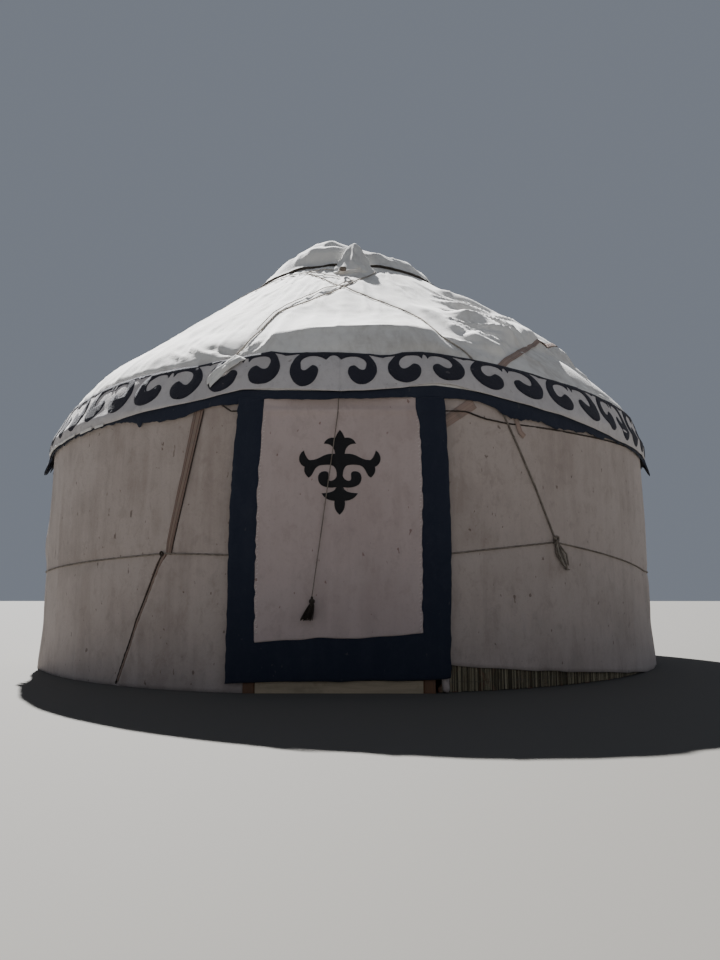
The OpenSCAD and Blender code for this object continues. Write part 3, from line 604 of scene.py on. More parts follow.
# Lines that the door frame pushes up: bearing, and height over the eave in metres
bandLift = [
    (-60, -0.02), (-28, -0.01), (-22.5, 0.015), (-18.9, 0.036), (-13.5, 0.07), (-9, 0.049), (-0.2, 0.03),
    (4.6, 0.042), (9.2, 0.075), (13.1, 0.098), (17.2, 0.085), (22.5, 0.055), (29, 0.019), (37, -0.008),
    (49, -0.03), (70, -0.02),
]
skirtFoot = [
    (-60, 1.757), (-44, 1.79), (-39, 1.8), (-34, 1.805), (-31, 1.785), (-28, 1.77), (-22.5, 1.768),
    (-21, 1.795), (-19, 1.82), (-17.5, 1.836), (-13.9, 1.832), (-10, 1.858), (-2.9, 1.841), (-0.2, 1.848),
    (4, 1.852),
    (10.2, 1.872), (14.3, 1.875), (17, 1.88), (19, 1.873), (22, 1.827), (23.7, 1.778), (27.4, 1.778),
    (29.2, 1.788), (31.5, 1.75), (40, 1.76), (50, 1.76), (60, 1.735), (75, 1.75),
]

# Lines of the band: bearing and slope length, with lengths under zero hanging down from the eave
bandLines = {
    "low": [(-60, -0.095), (-48, -0.072), (-34, -0.044), (-28, -0.02), (-22.5, 0.0), (-19, 0.022),
            (-13.5, 0.08), (-10.5, 0.076), (0, 0.035), (4, 0.046), (8, 0.075), (11, 0.113), (13.5, 0.131),
            (15.5, 0.13), (19, 0.09), (25, 0.033), (29, 0.0), (37, -0.045), (48, -0.1), (60, -0.106)],
    "curl": [(-60, -0.05), (-47, -0.024), (-41, 0.016), (-29, 0.032), (-22, 0.044), (-16.5, 0.076),
             (-10.7, 0.12), (-5, 0.078), (3, 0.092), (9, 0.12), (16, 0.163), (22, 0.116), (28.5, 0.08),
             (34, 0.036), (40, -0.004), (45.5, -0.02), (52.5, -0.08), (60, -0.085)],
    "top": [(-60, 0.27), (-50, 0.29), (-44, 0.32), (-36, 0.34), (-22, 0.343), (-19, 0.363), (-15, 0.39),
            (-10.5, 0.43), (-7.5, 0.396), (0, 0.395), (5.5, 0.366), (7.5, 0.375), (9.5, 0.415), (12, 0.428),
            (15, 0.423), (21, 0.387), (28, 0.352), (32, 0.325), (41, 0.3), (48, 0.27), (60, 0.23)]}
bandAway = {"low": -0.06, "curl": 0.0, "top": 0.34}


def signedBearing(bearing):
    return (np.asarray(bearing, float) + 180) % 360 - 180


# Value of a table of places at a value of its first column
def follow(table, value):
    return np.interp(value, [row[0] for row in table], [row[1] for row in table])


# The same for bearings round the tent, with one value for all that the table leaves out
def knots(table, bearing, away):
    return follow([(-180, away)] + list(table) + [(180, away)], signedBearing(bearing))


def bandLine(name, bearing):
    return knots(bandLines[name], bearing, bandAway[name])


# Noise round the whole tent, in cells so many degrees wide and so long the other way
def waver(turn, along, wide, long, seed):
    return wander(turn / wide, along / long, seed, round(360 / wide))


# The roof's shoulder swells out to the right of the door
shoulder = {"bearing": 66, "wide": 17, "slope": 0.28, "tall": 0.17, "out": 0.032}


def shoulderSwell(bearing, slope):
    across = bell(signedBearing(bearing), shoulder["bearing"], shoulder["wide"])
    return shoulder["out"] * across * bell(slope, shoulder["slope"], shoulder["tall"])


# Ropes over the roof by bearing and slope length, with straight runs between their bends
ropeHigh = float(slopeAt(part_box("crown_cover")[1].x + 0.004))
ropeLow = float(bandLine("top", 160)) - 0.02
roofRopes = {
    "roofRopeLong": [(14, 2.42), (11.7, 2.325), (5.2, 2.12), (-1.6, 1.81), (-6.6, 1.575), (-10.6, 1.38),
                     (-14.4, 1.19), (-14.8, 0.8), (-15.6, 0.56), (-16.7, 0.375)],
    "roofRopeCross": [(-20, 2.43), (-17.9, 2.38), (-8.1, 2.136), (-2.4, 1.89), (1.4, 1.763), (6.7, 1.571),
                      (10.9, 1.38), (14.4, 1.18), (15.6, 1.05), (16.1, 0.85), (16.6, 0.67), (17.9, 0.6),
                      (19.6, 0.48), (20.6, 0.375)],
    "roofRopeBack": [(200.8, ropeHigh), (159.8, ropeLow)],
    "roofRopeBackCross": [(159.2, ropeHigh), (200.2, ropeLow)]}


def inPlan(places):
    return around(roofAt([place[1] for place in places])[0], [place[0] for place in places], 0)[:, :2]


# Points beside a straight run: their share of its length, how far off they are, and which lie above it
def besideRun(x, y, start, end):
    run = end - start
    share = np.clip(((x - start[0]) * run[0] + (y - start[1]) * run[1]) / np.dot(run, run), 0, 1)
    off = np.hypot(x - start[0] - share * run[0], y - start[1] - share * run[1])
    return share, off, (y - start[1]) * run[0] > (x - start[0]) * run[1]


# How near a roof point is to a rope, so that the rope presses the canvas down: 1 under it, 0 away from it
def ropePress(bearing, slope, wide):
    press = np.zeros(np.broadcast(bearing, slope).shape)
    x, y, _ = np.moveaxis(around(roofAt(slope)[0], bearing, 0), -1, 0)
    for places in roofRopes.values():
        corners = inPlan(places)
        for start, end in zip(corners, corners[1:]):
            press = np.maximum(press, bell(besideRun(x, y, start, end)[1], 0, wide))
    return press


# Long folds of the canvas: bearing and slope length of their ends, height and half width in metres
roofFolds = [
    [(30, 1.89), (38.4, 1.686), (42, 1.3), (41.5, 1.0), 0.028, 0.022],
    [(23.3, 1.449), (31.4, 1.389), (36.4, 1.147), (38, 0.86), 0.026, 0.018],
    [(21.8, 1.089), (26.1, 1.003), (33, 0.84), (37, 0.72), 0.026, 0.018],
    [(21, 0.919), (24.4, 0.76), (31, 0.66), (36, 0.56), 0.024, 0.018],
    [(17.4, 0.68), (22.1, 0.6), (27, 0.53), 0.018, 0.018],
    [(24, 1.24), (29, 1.16), (34, 0.98), (36.5, 0.8), 0.016, 0.014],
    [(22, 1.0), (27, 0.88), (31.5, 0.74), 0.016, 0.014],
    [(30, 2.3), (34, 1.9), (46, 1.4), (52, 1.1), 0.02, 0.024],
    [(27, 1.75), (33, 1.55), (39, 1.2), 0.016, 0.018],
    [(-21.6, 0.559), (-18, 0.47), (-15.9, 0.44), -0.018, 0.02],
    [(-11.3, 0.599), (-12.2, 0.5), (-13, 0.44), 0.022, 0.018],
    [(-13.5, 0.62), (-14.6, 0.52), (-15.4, 0.44), 0.016, 0.014],
    [(-26, 0.6), (-23, 0.5), (-20.5, 0.45), 0.018, 0.018],
    [(-31, 0.62), (-28, 0.52), (-25, 0.45), 0.014, 0.018],
    [(-40, 1.5), (-33, 1.0), (-30, 0.7), 0.01, 0.03],
    [(-8, 0.64), (0, 0.66), (8, 0.7), (14, 0.68), 0.012, 0.03],
]

# Steps where the canvas falls steeply below a ridge: places along it, height and half width in metres
roofSteps = [
    [(23.2, 1.36), (25.5, 1.18), (28, 1.0), (29.6, 0.83), (31.5, 0.66), 0.09, 0.12],
    [(33, 2.1), (40, 1.98), (45, 1.6), (43.3, 1.3), (41.6, 1.07), (40, 0.9), 0.075, 0.1],
    [(20.6, 0.8), (22.5, 0.66), (24.5, 0.57), (27, 0.47), 0.0525, 0.055],
    [(15.5, 1.5), (18.5, 1.2), (19.8, 0.95), (20.8, 0.76), 0.033, 0.05],
    [(27, 1.75), (33, 1.45), (35.5, 1.15), (37, 0.8), 0.06, 0.07],
    [(48, 1.75), (52, 1.4), (53, 1.05), (53.5, 0.7), 0.075, 0.1],
    [(60, 1.7), (65, 1.3), (66, 0.95), (67, 0.6), 0.0675, 0.1],
]


# A fold's runs on the cloth laid flat, in metres, and the points at a bearing and slope beside each of them
def foldRuns(places, bearing, slope):
    scale = sum(roofAt(place[1])[0] for place in places) / len(places) * math.pi / 180
    corners = np.array([(turn * scale, up) for turn, up in places])
    x, y = np.broadcast_arrays(signedBearing(bearing) * scale, np.asarray(slope, float))
    return [besideRun(x, y, start, end) for start, end in zip(corners, corners[1:])]


def stepRise(bearing, slope):
    rise = np.zeros(np.broadcast(bearing, slope).shape)
    for *places, height, wide in roofSteps:
        nearest, reach = np.full(rise.shape, 9.0), np.zeros_like(rise)
        for count, (share, distance, above) in enumerate(foldRuns(places, bearing, slope)):
            off = np.where(above, distance, -distance)
            along = (count + share) / (len(places) - 1)
            fade = smooth(0, 0.3, along) * smooth(1, 0.75, along)
            raised = smooth(-wide, wide, off) * np.exp(-np.maximum(off - wide, 0) / 0.22) * fade
            reach = np.where(distance < nearest, raised, reach)
            nearest = np.minimum(nearest, distance)
        rise += height * reach
    return rise


def foldRise(bearing, slope):
    rise = np.zeros(np.broadcast(bearing, slope).shape)
    for *places, height, wide in roofFolds:
        reach = np.zeros_like(rise)
        for count, (share, off, _) in enumerate(foldRuns(places, bearing, slope)):
            along = (count + share + 0.25) / (len(places) - 0.5)
            fade = np.sin(math.pi * np.clip(along, 0.02, 0.98)) ** 0.6
            reach = np.maximum(reach, bell(off, 0, wide) * fade)
        rise += height * reach
    return rise


# Over the door the canvas is drawn flat from the crown to a ridge, and falls steeply from there
doorRidge = {"line": [(-12, 0.6), (-8.5, 0.646), (-1.9, 0.657), (5.5, 0.68), (12.6, 0.735), (15.5, 0.69)],
             "foot": 0.42, "head": 1.15, "height": 0.042}


def ridgeRise(bearing, slope):
    turn, slope = signedBearing(bearing), np.asarray(slope, float)
    ridge = follow(doorRidge["line"], turn)
    inside = smooth(-12.6, -10.8, turn) * smooth(17.5, 14.5, turn)
    below = np.clip((slope - doorRidge["foot"]) / (ridge - doorRidge["foot"]), 0, 1)
    above = np.clip((doorRidge["head"] - slope) / (doorRidge["head"] - ridge), 0, 1)
    return doorRidge["height"] * inside * np.minimum(below, above) ** 1.1


# Relief of the canvas in metres, and the bearings of its two seams, the second by slope length
canvasRelief = {"wave": 0.01, "ripple": 0.005, "crumple": 0.0022, "crease": 0.009, "seam": 0.004, "poles": 64,
                "pole": 0.0022, "hem": 0.01, "ropeDent": 0.006, "ropeDip": 0.004, "tuck": 0.004}
canvasSeams = {"front": -5.4, "left": [(0.4, -23.6), (1, -27.5), (1.7, -39.8)], "wide": 0.012, "head": 1.75}


# Rise of the canvas off the frame's smooth roof, in metres
def canvasRise(bearing, slope):
    bearing, slope = np.broadcast_arrays(np.asarray(bearing, float), np.asarray(slope, float))
    signed, radius, relief = signedBearing(bearing), roofAt(slope)[0], canvasRelief
    turn = signed + 180
    smoother = 1 - 0.75 * smooth(18, 28, signed) * smooth(100, 80, signed)
    crease = 1 - np.abs(waver(turn + 2.1 * waver(turn, slope, 6, 0.4, 3), slope, 3, 0.8, 4))
    rise = relief["wave"] * waver(turn, slope, 12, 0.55, 1) + smoother * (
        relief["ripple"] * waver(turn, slope + 0.9, 4, 0.3, 2)
        + relief["crumple"] * waver(turn, slope, 1.8, 0.09, 7)
        + relief["crease"] * crease ** 7
        + relief["pole"] * cosine(relief["poles"] * bearing) * smooth(0.5, 1.0, slope))
    for seam in (canvasSeams["front"], follow(canvasSeams["left"], slope)):
        near = bell(np.radians(signed - seam) * radius, 0, canvasSeams["wide"])
        rise = rise + relief["seam"] * near * (slope < canvasSeams["head"])
    rise = rise + foldRise(bearing, slope) + stepRise(bearing, slope) + ridgeRise(bearing, slope)
    edge = bandLine("top", bearing)
    hem = bell(slope - edge, 0.045, 0.032)
    rise = rise + hem * (relief["hem"] + 0.006 * waver(turn, 0.5, 2.5, 1, 6))
    rise = rise * (1 - 0.9 * smooth(0.1, 0, slope - edge))
    rise = rise - relief["ropeDent"] * ropePress(bearing, slope, 0.02)
    rise = rise - relief["ropeDip"] * ropePress(bearing, slope, 0.07)
    rise = np.where(slope < edge, np.minimum(rise, 0.0), rise) - relief["tuck"] * smooth(0.42, 0.3, slope)
    return rise * np.clip((radius - 0.85) / 0.2, 0.2, 1) + shoulderSwell(bearing, slope)


canvasTopR = 0.8634  # the canvas ends here, under the crown cover
topSlope = float(slopeAt(canvasTopR))


def roofCanvas(name, fromBearing, toBearing, replaced):
    bearings = np.linspace(fromBearing, toBearing, 321)[None]
    share = np.linspace(0, 1, 104)[:, None]
    hem = 0.001 + np.maximum(knots(bandLift, bearings, 0.0) + 0.012, 0) / sine(roofShape["shoulderTilt"])
    slopes = hem + (topSlope - 0.004 - hem) * share
    grid = onRoof(bearings, slopes, canvasRise(bearings, slopes))
    across = np.radians(bearings) * roofAt(slopes)[0]
    piece = addCloth(name, grid, 0.011, layGrid(across, slopes, bearings))
    dress(piece, "yurt", canvas, [replaced])


halfStep = 0.03  # degrees left between the two halves of a cloth
roofCanvas("roofCanvasFront", -90, 90 - halfStep, "roof_cover_front")
roofCanvas("roofCanvasBack", 90, 270 - halfStep, "roof_cover_back")
print("roof canvas stretched")


# Band round the foot of the roof, with its waves and the lines lifted over the door
band = {"thick": 0.005, "wave": 0.004, "ripple": 0.002, "droop": 0.004, "off": 0.004, "high": 0.4,
        "middleR": 2.75}


def bandSlopes(bearing, share):
    low = bandLine("low", bearing)
    return low + (bandLine("top", bearing) - low) * share


# A point of the band: on the roof, or hanging straight down below the eave
def onBand(bearing, slope, lift):
    points = onRoof(bearing, np.maximum(slope, 0.0), lift)
    points[..., 2] += np.minimum(slope, 0.0)
    return points


def bandRise(bearing, slope):
    turn = signedBearing(bearing) + 180
    wave = band["wave"] * waver(turn, slope, 5, 0.2, 21) + band["ripple"] * waver(turn, slope, 1.5, 0.1, 22)
    droop = band["droop"] * smooth(0.1, 0, slope) * (1 + waver(turn, 0.5, 3, 1, 23))
    return seat + band["thick"] + band["off"] + wave + droop + shoulderSwell(bearing, slope)


def eaveBand(name, fromBearing, toBearing, replaced):
    bearings = np.linspace(fromBearing, toBearing, 341)[None]
    slopes = bandSlopes(bearings, np.linspace(0, 1, 19)[:, None])
    grid = onBand(bearings, slopes, bandRise(bearings, slopes))
    piece = addCloth(name, grid, band["thick"], layGrid(np.radians(bearings) * eaveR, slopes, bearings))
    dress(piece, "yurt", bandFelt, [replaced])


eaveBand("eaveBandRight", 0, 180 - halfStep, "eave_band_right")
eaveBand("eaveBandLeft", 180, 360 - halfStep, "eave_band_left")


# Points on the curve that leaves a towards b and comes into d from c, without d itself
def curve(a, b, c, d, steps=8):
    a, b, c, d = (np.array(p, float) for p in (a, b, c, d))
    share = (np.arange(steps) / steps)[:, None]
    rest = 1 - share
    return list(rest ** 3 * a + 3 * rest ** 2 * share * b + 3 * rest * share ** 2 * c + share ** 3 * d)


# Points of curves that follow each other: a start, then two guides and an end for each curve
def chain(places):
    return [point for k in range(0, len(places) - 1, 3) for point in curve(*places[k:k + 4])]


# Facing curls in millimetres: x to the right, y up from the curl's foot, the middle of the pair at zero
scroll = {"pairs": 26, "wide": 184, "high": 262, "gap": 372, "line": 14, "thick": 0.003, "middleR": 2.683,
          "drawnWide": 184, "drawnHigh": 248, "ragged": 0.0018, "cell": 0.035}
pairWide = 2 * math.pi * scroll["middleR"] / scroll["pairs"] * 1000 + 1
curlTip = (184, 234)
curlPlaces = [
    (-86, 246), (-41, 248), (-66, 222), (-91, 170), (-92, 127), (-92, 60), (-48, 0), (1, 0), (56, 0),
    (92, 50), (92, 105), (92, 134), (72, 151), (52, 151), (34, 140), (22, 114), (-2, 114), (-18, 115),
    (-27, 140),
    (-27, 165), (-27, 205), (4, 228), (50, 229), (90, 230), (112, 212), (137, 195), (148, 208), (156, 234),
]


def curlPoint(x, y):
    return (x * scroll["wide"] / scroll["drawnWide"] - scroll["gap"] / 2,
            y * (scroll["high"] - scroll["line"]) / scroll["drawnHigh"])


def halfPair():
    tipHeight = curlPoint(*curlTip)[1]
    line = scroll["high"] - 2 * scroll["line"]
    start = [(-pairWide / 2, line), (-pairWide / 2 + 34, line + scroll["line"] / 2)]
    places = start + [curlPoint(x, y) for x, y in curlPlaces] + [(-1, tipHeight)]
    return [np.array([-pairWide / 2, scroll["high"]])] + chain(places) + [np.array([0, tipHeight])]


# A flat outline cut into small faces: its points, the faces between them and the edges round it
def fillOutline(outline, cell):
    work = bmesh.new()
    corners = [work.verts.new((x, y, 0)) for x, y in outline]
    work.faces.new(corners)
    low, high = np.min(outline, axis=0), np.max(outline, axis=0)
    for axis in (0, 1):
        for place in np.arange(low[axis] + cell, high[axis], cell):
            spot, normal = [0, 0, 0], [0, 0, 0]
            spot[axis], normal[axis] = place, 1
            bmesh.ops.bisect_plane(work, geom=work.verts[:] + work.edges[:] + work.faces[:], dist=1e-6,
                                   plane_co=spot, plane_no=normal)
    bmesh.ops.triangulate(work, faces=[face for face in work.faces if len(face.verts) > 4])
    work.verts.index_update()
    work.faces.ensure_lookup_table()
    border = [edge for edge in work.edges if len(edge.link_faces) == 1]
    points = np.array([vert.co[:2] for vert in work.verts])
    faces = [[vert.index for vert in face.verts] for face in work.faces]
    if work.faces and work.faces[0].normal.z < 0:
        faces = [face[::-1] for face in faces]
    edges = []
    for edge in border:
        face = edge.link_faces[0]
        order = [vert.index for vert in face.verts]
        if face.normal.z < 0:
            order = order[::-1]
        a, b = edge.verts[0].index, edge.verts[1].index
        edges.append((a, b) if order[(order.index(a) + 1) % len(order)] == b else (b, a))
    work.free()
    return points, faces, edges


# A cut-out of felt with a rounded edge, laid by a function from flat points and a lift
def cutOut(points, faces, edges, thick, place, lay):
    count = len(points)
    inset = np.zeros((count, 2))
    for a, b in edges:
        along = points[b] - points[a]
        normal = np.array([-along[1], along[0]]) / max(np.linalg.norm(along), 1e-9)
        inset[a] += normal
        inset[b] += normal
    length = np.linalg.norm(inset, axis=1, keepdims=True)
    inset = np.where(length > 0, inset / np.maximum(length, 1e-9), 0)
    top = place(points + inset * thick * 0.35, thick)
    middle = place(points, thick * 0.55)
    bottom = place(points, 0.0)
    shapes = [list(face) for face in faces]
    shapes += [[a + count, b + count, b, a] for a, b in edges]
    shapes += [[a + 2 * count, b + 2 * count, b + count, a + count] for a, b in edges]
    shapes += [[index + 2 * count for index in face[::-1]] for face in faces]
    return np.concatenate([top, middle, bottom]), shapes, np.concatenate([lay, lay, lay])


def mirrorOutline(half):
    return half + [np.array([-p[0], p[1]]) for p in half[-2:0:-1] + [half[0]]]


def tidyOutline(outline):
    kept = []
    for point in outline:
        if not kept or np.linalg.norm(point - kept[-1]) > 1e-6:
            kept.append(point)
    return kept


# Bearings between the pairs: listed over the front, even round the back
pairLimits = [6.1, 18.5, 31.6, 44.1, 54, 65]
pairLimits += [65 + (360 - 56 - 65) * step / 16 for step in range(1, 17)]
pairLimits += [360 - 45.4, 360 - 32.8, 360 - 19.7, 360 - 8.1, 366.1]
openPair = 25  # the pair over the door, whose curls stand wide apart


def scrollBand(name, pairs, replaced):
    outline = np.array(tidyOutline(mirrorOutline(halfPair()))) / 1000
    points, faces, edges = fillOutline(outline, scroll["cell"])
    half = pairWide / 2000
    tip = (scroll["gap"] - scroll["wide"]) / 2000
    outer = (scroll["gap"] + scroll["wide"]) / 2000
    narrow = [0, 0.14 * half, 0.92 * half, half]
    shapes = []
    for pair in pairs:
        bearing = (pairLimits[pair] + pairLimits[pair + 1]) / 2
        spread = math.radians(pairLimits[pair + 1] - pairLimits[pair]) / 2 * scroll["middleR"] / half
        side = points[:, 0]
        if pair != openPair:
            side = np.sign(side) * np.interp(np.abs(side), [0, tip, outer, half], narrow)
        shape = np.stack([side * spread, points[:, 1]], 1)
        grain = points / 0.03 + [9 * pair, 0]
        jitter = np.stack([wander(grain[:, 0], grain[:, 1], seed) for seed in (31, 32)], 1) * scroll["ragged"]

        def place(flat, lift):
            moved = flat + jitter * smooth(0, 0.03, half * spread - np.abs(flat[:, :1]))
            spots = bearing + np.degrees(moved[:, 0] / scroll["middleR"])
            foot = bandLine("curl", spots)
            slopes = foot + (bandLine("top", spots) - foot) * moved[:, 1] / scroll["high"] * 1000
            return onBand(spots, slopes, bandRise(spots, slopes) + seat + lift)

        lay = np.stack([points[:, 0] + pair, points[:, 1], np.zeros(len(points))], 1)
        shapes.append(cutOut(shape, faces, edges, scroll["thick"], place, lay))
    dress(addPiece(name, *joinShapes(shapes)), "yurt", scrollFelt, [replaced])


scrollBand("scrollsRight", range(0, 13), "scrolls_right")
scrollBand("scrollsLeft", range(13, 26), "scrolls_left")
print("band and scrolls laid")


# Dark skirt under the band, torn along its foot. Its loose flaps are given by their bearing, half width in
# degrees, and how far they hang lower and stand out.
skirtCloth = {"foot": 1.775, "high": 0.1, "thick": 0.006, "rag": 0.012, "fray": 0.008, "tatter": 0.05}
skirtFlaps = [
    (-70.5, 3.2, 0.1, 0.05), (69, 3.6, 0.1, 0.05), (-75.5, 1.4, 0.06, 0.03), (-29.6, 0.6, 0.03, 0.004),
    (23.5, 1.6, 0.012, 0.004), (128, 4, 0.08, 0.03), (-140, 3, 0.07, 0.03),
]


def skirt(name, fromBearing, toBearing, replaced):
    bearings = np.linspace(fromBearing, toBearing, 721)[None]
    signed = signedBearing(bearings)
    turn = signed + 180
    share = np.linspace(0, 1, 7)[:, None]
    away = smooth(19, 26, np.abs(signed))
    rags = skirtCloth["rag"] * waver(turn, 0.5, 1.1, 1, 41)
    rags = rags + skirtCloth["fray"] * waver(turn, 0.5, 0.45, 1, 42)
    tatters = skirtCloth["tatter"] * np.maximum(waver(turn, 2.5, 1.8, 1, 43) - 0.45, 0)
    foot = knots(skirtFoot, bearings, skirtCloth["foot"]) + rags * (0.3 + 0.7 * away) - tatters * away
    swing = (1 - share) * (0.006 * waver(turn, 0.5, 2, 1, 44) + 0.004)
    for middle, wide, drop, out in skirtFlaps:
        near = np.exp(-((signed - middle) / wide) ** 4) * (0.6 + 0.4 * np.sign(waver(turn, 0.5, 0.9, 1, 45)))
        foot = foot - drop * near
        swing = swing + out * near * (1 - share) ** 1.3
    top = eaveZ + np.maximum(knots(bandLift, bearings, 0.0), -0.02) + 0.01
    height = foot + (top - foot) * share
    wallLine = eaveR - 0.006 + 0.002 * share
    roofLine = eaveR - 0.003 - np.maximum(height - eaveZ, 0) / shoulderSteep
    grid = around(np.minimum(wallLine, roofLine) + swing, bearings, height)
    piece = addCloth(name, grid, skirtCloth["thick"], layGrid(np.radians(bearings) * eaveR, height, bearings))
    dress(piece, "yurt", borderFelt, [replaced])


skirt("skirtRight", 0, 180 - halfStep, "skirt_right")
skirt("skirtLeft", 180, 360 - halfStep, "skirt_left")


# Torn strips of canvas that show along the band's lower edge, given by their first and last bearing
ragStrips = {"runs": [(-62, -46), (-44, -40.5), (-39.6, -37.4), (100, 118), (-160, -149)], "wide": 0.018,
             "thick": 0.003, "off": 0.016, "swell": 0.006}


def edgeRags():
    for count, (first, last) in enumerate(ragStrips["runs"]):
        bearings = np.linspace(first, last, 60)
        sway = 0.006 * wander(bearings / 1.6 + 40, 0.5, 46 + count)
        fade = ragStrips["swell"] * np.sin(np.linspace(0.15, math.pi - 0.15, 60)) ** 0.5
        height = eaveZ + np.minimum(bandLine("low", bearings), 0) - fade + sway
        path = around(eaveR + ragStrips["off"] + fade, bearings, height)
        strip = addStrap("edgeRag%d" % count, path, ragStrips["wide"], ragStrips["thick"], outFromAxis,
                         step=0.012, across=4, crease=0.003, seed=47 + count)
        dress(strip, "yurt", canvas)


edgeRags()

# A frayed scrap of the roof canvas lies over the band to the left of the door
scrap = {"bearing": -14.9, "leans": -3.9, "half": 0.95, "slope": 0.375, "long": 0.225, "thick": 0.002,
         "off": 0.012}


def bandScrap():
    share, side = np.linspace(0, 1, 34)[:, None], np.linspace(-1, 1, 30)[None]
    half = scrap["half"] * (1 - 0.45 * share) + 0.3 * wander(share * 7, side * 0.5 + 3, 61, 9)
    bearings = scrap["bearing"] + scrap["leans"] * share + side * half
    length = scrap["long"] + 0.03 * wander(side * 5, 0.5, 62, 9)
    slopes = scrap["slope"] - length * share ** 1.2 - 0.03 * side
    puff = 0.009 * np.cos(side * math.pi / 2) ** 0.5 + 0.008 * wander(side * 3, share * 3, 63, 9)
    lift = scrap["off"] + puff * np.sin(math.pi * share) ** 0.5
    grid = onBand(bearings, slopes, bandRise(bearings, slopes) + lift)
    lay = layGrid(np.radians(bearings) * eaveR, slopes, bearings)
    piece = addCloth("bandScrap", grid, scrap["thick"], lay)
    dress(piece, "yurt", canvas)


bandScrap()

# Wall felts hang from the roof's foot, pulled in by the wall rope. The hem right of the door is turned up.
wall = {"tuck": 0.12, "thick": 0.009, "raisedHem": 0.155, "hemDown": 58, "lap": 0.0095, "backFrom": 92}
doorBearing = math.degrees(math.asin(0.595 / wallR))
ropeLine = {"level": 0.785, "levelFrom": 61, "atDoor": 0.846, "tieBearing": 31.4, "atTie": 0.952,
            "strapBearing": -24.3, "atStrap": 0.868}


# Height of the wall rope at a bearing
def wallRopeZ(bearing):
    left = [(-ropeLine["levelFrom"], ropeLine["level"]), (ropeLine["strapBearing"], ropeLine["atStrap"]),
            (-doorBearing, ropeLine["atDoor"])]
    right = [(doorBearing, ropeLine["atDoor"]), (ropeLine["tieBearing"], ropeLine["atTie"]),
             (ropeLine["levelFrom"], ropeLine["level"])]
    return follow(left + right, signedBearing(bearing))


# Relief of the wall felts, in metres
wallRelief = {"wave": 0.007, "ripple": 0.003, "drape": 0.007, "ropeDent": 0.003, "belly": 0.006,
              "lowBelly": 0.005, "bulge": 0.035, "flare": 0.03, "pleat": 0.014, "seam": 0.004,
              "least": -0.004}


def wallRise(bearing, height):
    signed, relief = signedBearing(bearing), wallRelief
    turn = signed + 180
    rise = relief["wave"] * waver(turn, height, 9, 0.9, 51)
    rise = rise + relief["ripple"] * waver(turn, height, 2.5, 0.7, 52)
    rise = rise + relief["drape"] * (1 - np.abs(waver(turn, height, 4.5, 1.6, 53))) ** 5
    overRope = height - wallRopeZ(bearing)
    rise = rise * (1 - 0.8 * bell(overRope, 0, 0.05)) - relief["ropeDent"] * bell(overRope, 0, 0.025)
    belly = relief["belly"] * bell(height, 1.15, 0.22) + relief["lowBelly"] * bell(height, 0.5, 0.2)
    rise = rise + belly * (0.6 + 0.4 * waver(turn, 0.5, 14, 1, 54))
    rise = rise * (1 - smooth(1.72, 1.85, height))
    rise = rise + relief["bulge"] * bell(signed, -76, 9) * bell(height, 1.02, 0.15)
    flare = bell(np.abs(signed), 74, 22) * smooth(0.4, 0.0, height)
    rise = rise + flare * (relief["flare"] + 0.012 * waver(turn, 0.5, 4, 1, 56))
    tie = follow([(0.0, -32.5), (0.84, -25.0)], height)
    pleat = bell(np.radians(signed - tie) * wallR, 0.035, 0.022) * smooth(0.86, 0.78, height)
    seam = bell(height, 0.2, 0.008) * smooth(-34, -30, signed) * smooth(-12, -14, signed)
    return np.maximum(rise + relief["pleat"] * pleat + relief["seam"] * seam, relief["least"])


def feltHem(bearing):
    turn = signedBearing(bearing)
    raised = wall["raisedHem"] * sine(wall["hemDown"] - turn) / sine(wall["hemDown"] - doorBearing)
    raised = raised + 0.034 * np.exp(-np.maximum(turn - doorBearing, 0) / 5)
    raised = np.where((turn > 0) & (turn < wall["hemDown"]), np.maximum(raised, 0), 0)
    wave = 0.006 + 0.006 * waver(turn + 180, 0.5, 3, 1, 55)
    return np.where(raised > 0.012, raised + wave * 1.3 - 0.008, np.maximum(raised, 0.0004 + wave * 0.15))


def wallFeltPiece(name, fromBearing, toBearing, replaced, laps=False):
    bearings = np.linspace(fromBearing, toBearing, 150)[None]
    top = eaveZ + wall["tuck"]
    foot = feltHem(bearings)
    height = foot + (top - foot) * np.linspace(0, 1, 74)[:, None]
    underRoof = eaveR - 0.0165 / sine(roofShape["shoulderTilt"]) - (height - eaveZ) / shoulderSteep
    over = wall["lap"] * smooth(toBearing - 4.5, toBearing - 3, bearings) if laps else 0
    grid = around(np.minimum(wallR + wallRise(bearings, height) + over, underRoof), bearings, height)
    piece = addCloth(name, grid, wall["thick"], layGrid(np.radians(bearings) * wallR, height, bearings))
    dress(piece, "yurt", wallFelt, [replaced])


wallFeltPiece("wallFeltFrontRight", doorBearing + 0.01, wall["backFrom"] + 2, "wall_felt_front_right", True)
wallFeltPiece("wallFeltBackRight", wall["backFrom"], 180 - halfStep, "wall_felt_back_right")
wallFeltPiece("wallFeltBackLeft", 180, 360 - wall["backFrom"], "wall_felt_back_left")
wallFeltPiece("wallFeltFrontLeft", 360 - wall["backFrom"], 360 - doorBearing - 0.01, "wall_felt_front_left")
print("wall felts and skirt hung")


# Reed screens: straws side by side, bound by cords
reed = {"wide": 0.0062, "round": 0.0029, "high": 1.69, "sides": 5, "screenR": 2.7816,
        "cords": [0.06, 0.4, 0.8, 1.2, 1.6], "cordR": 0.0013}


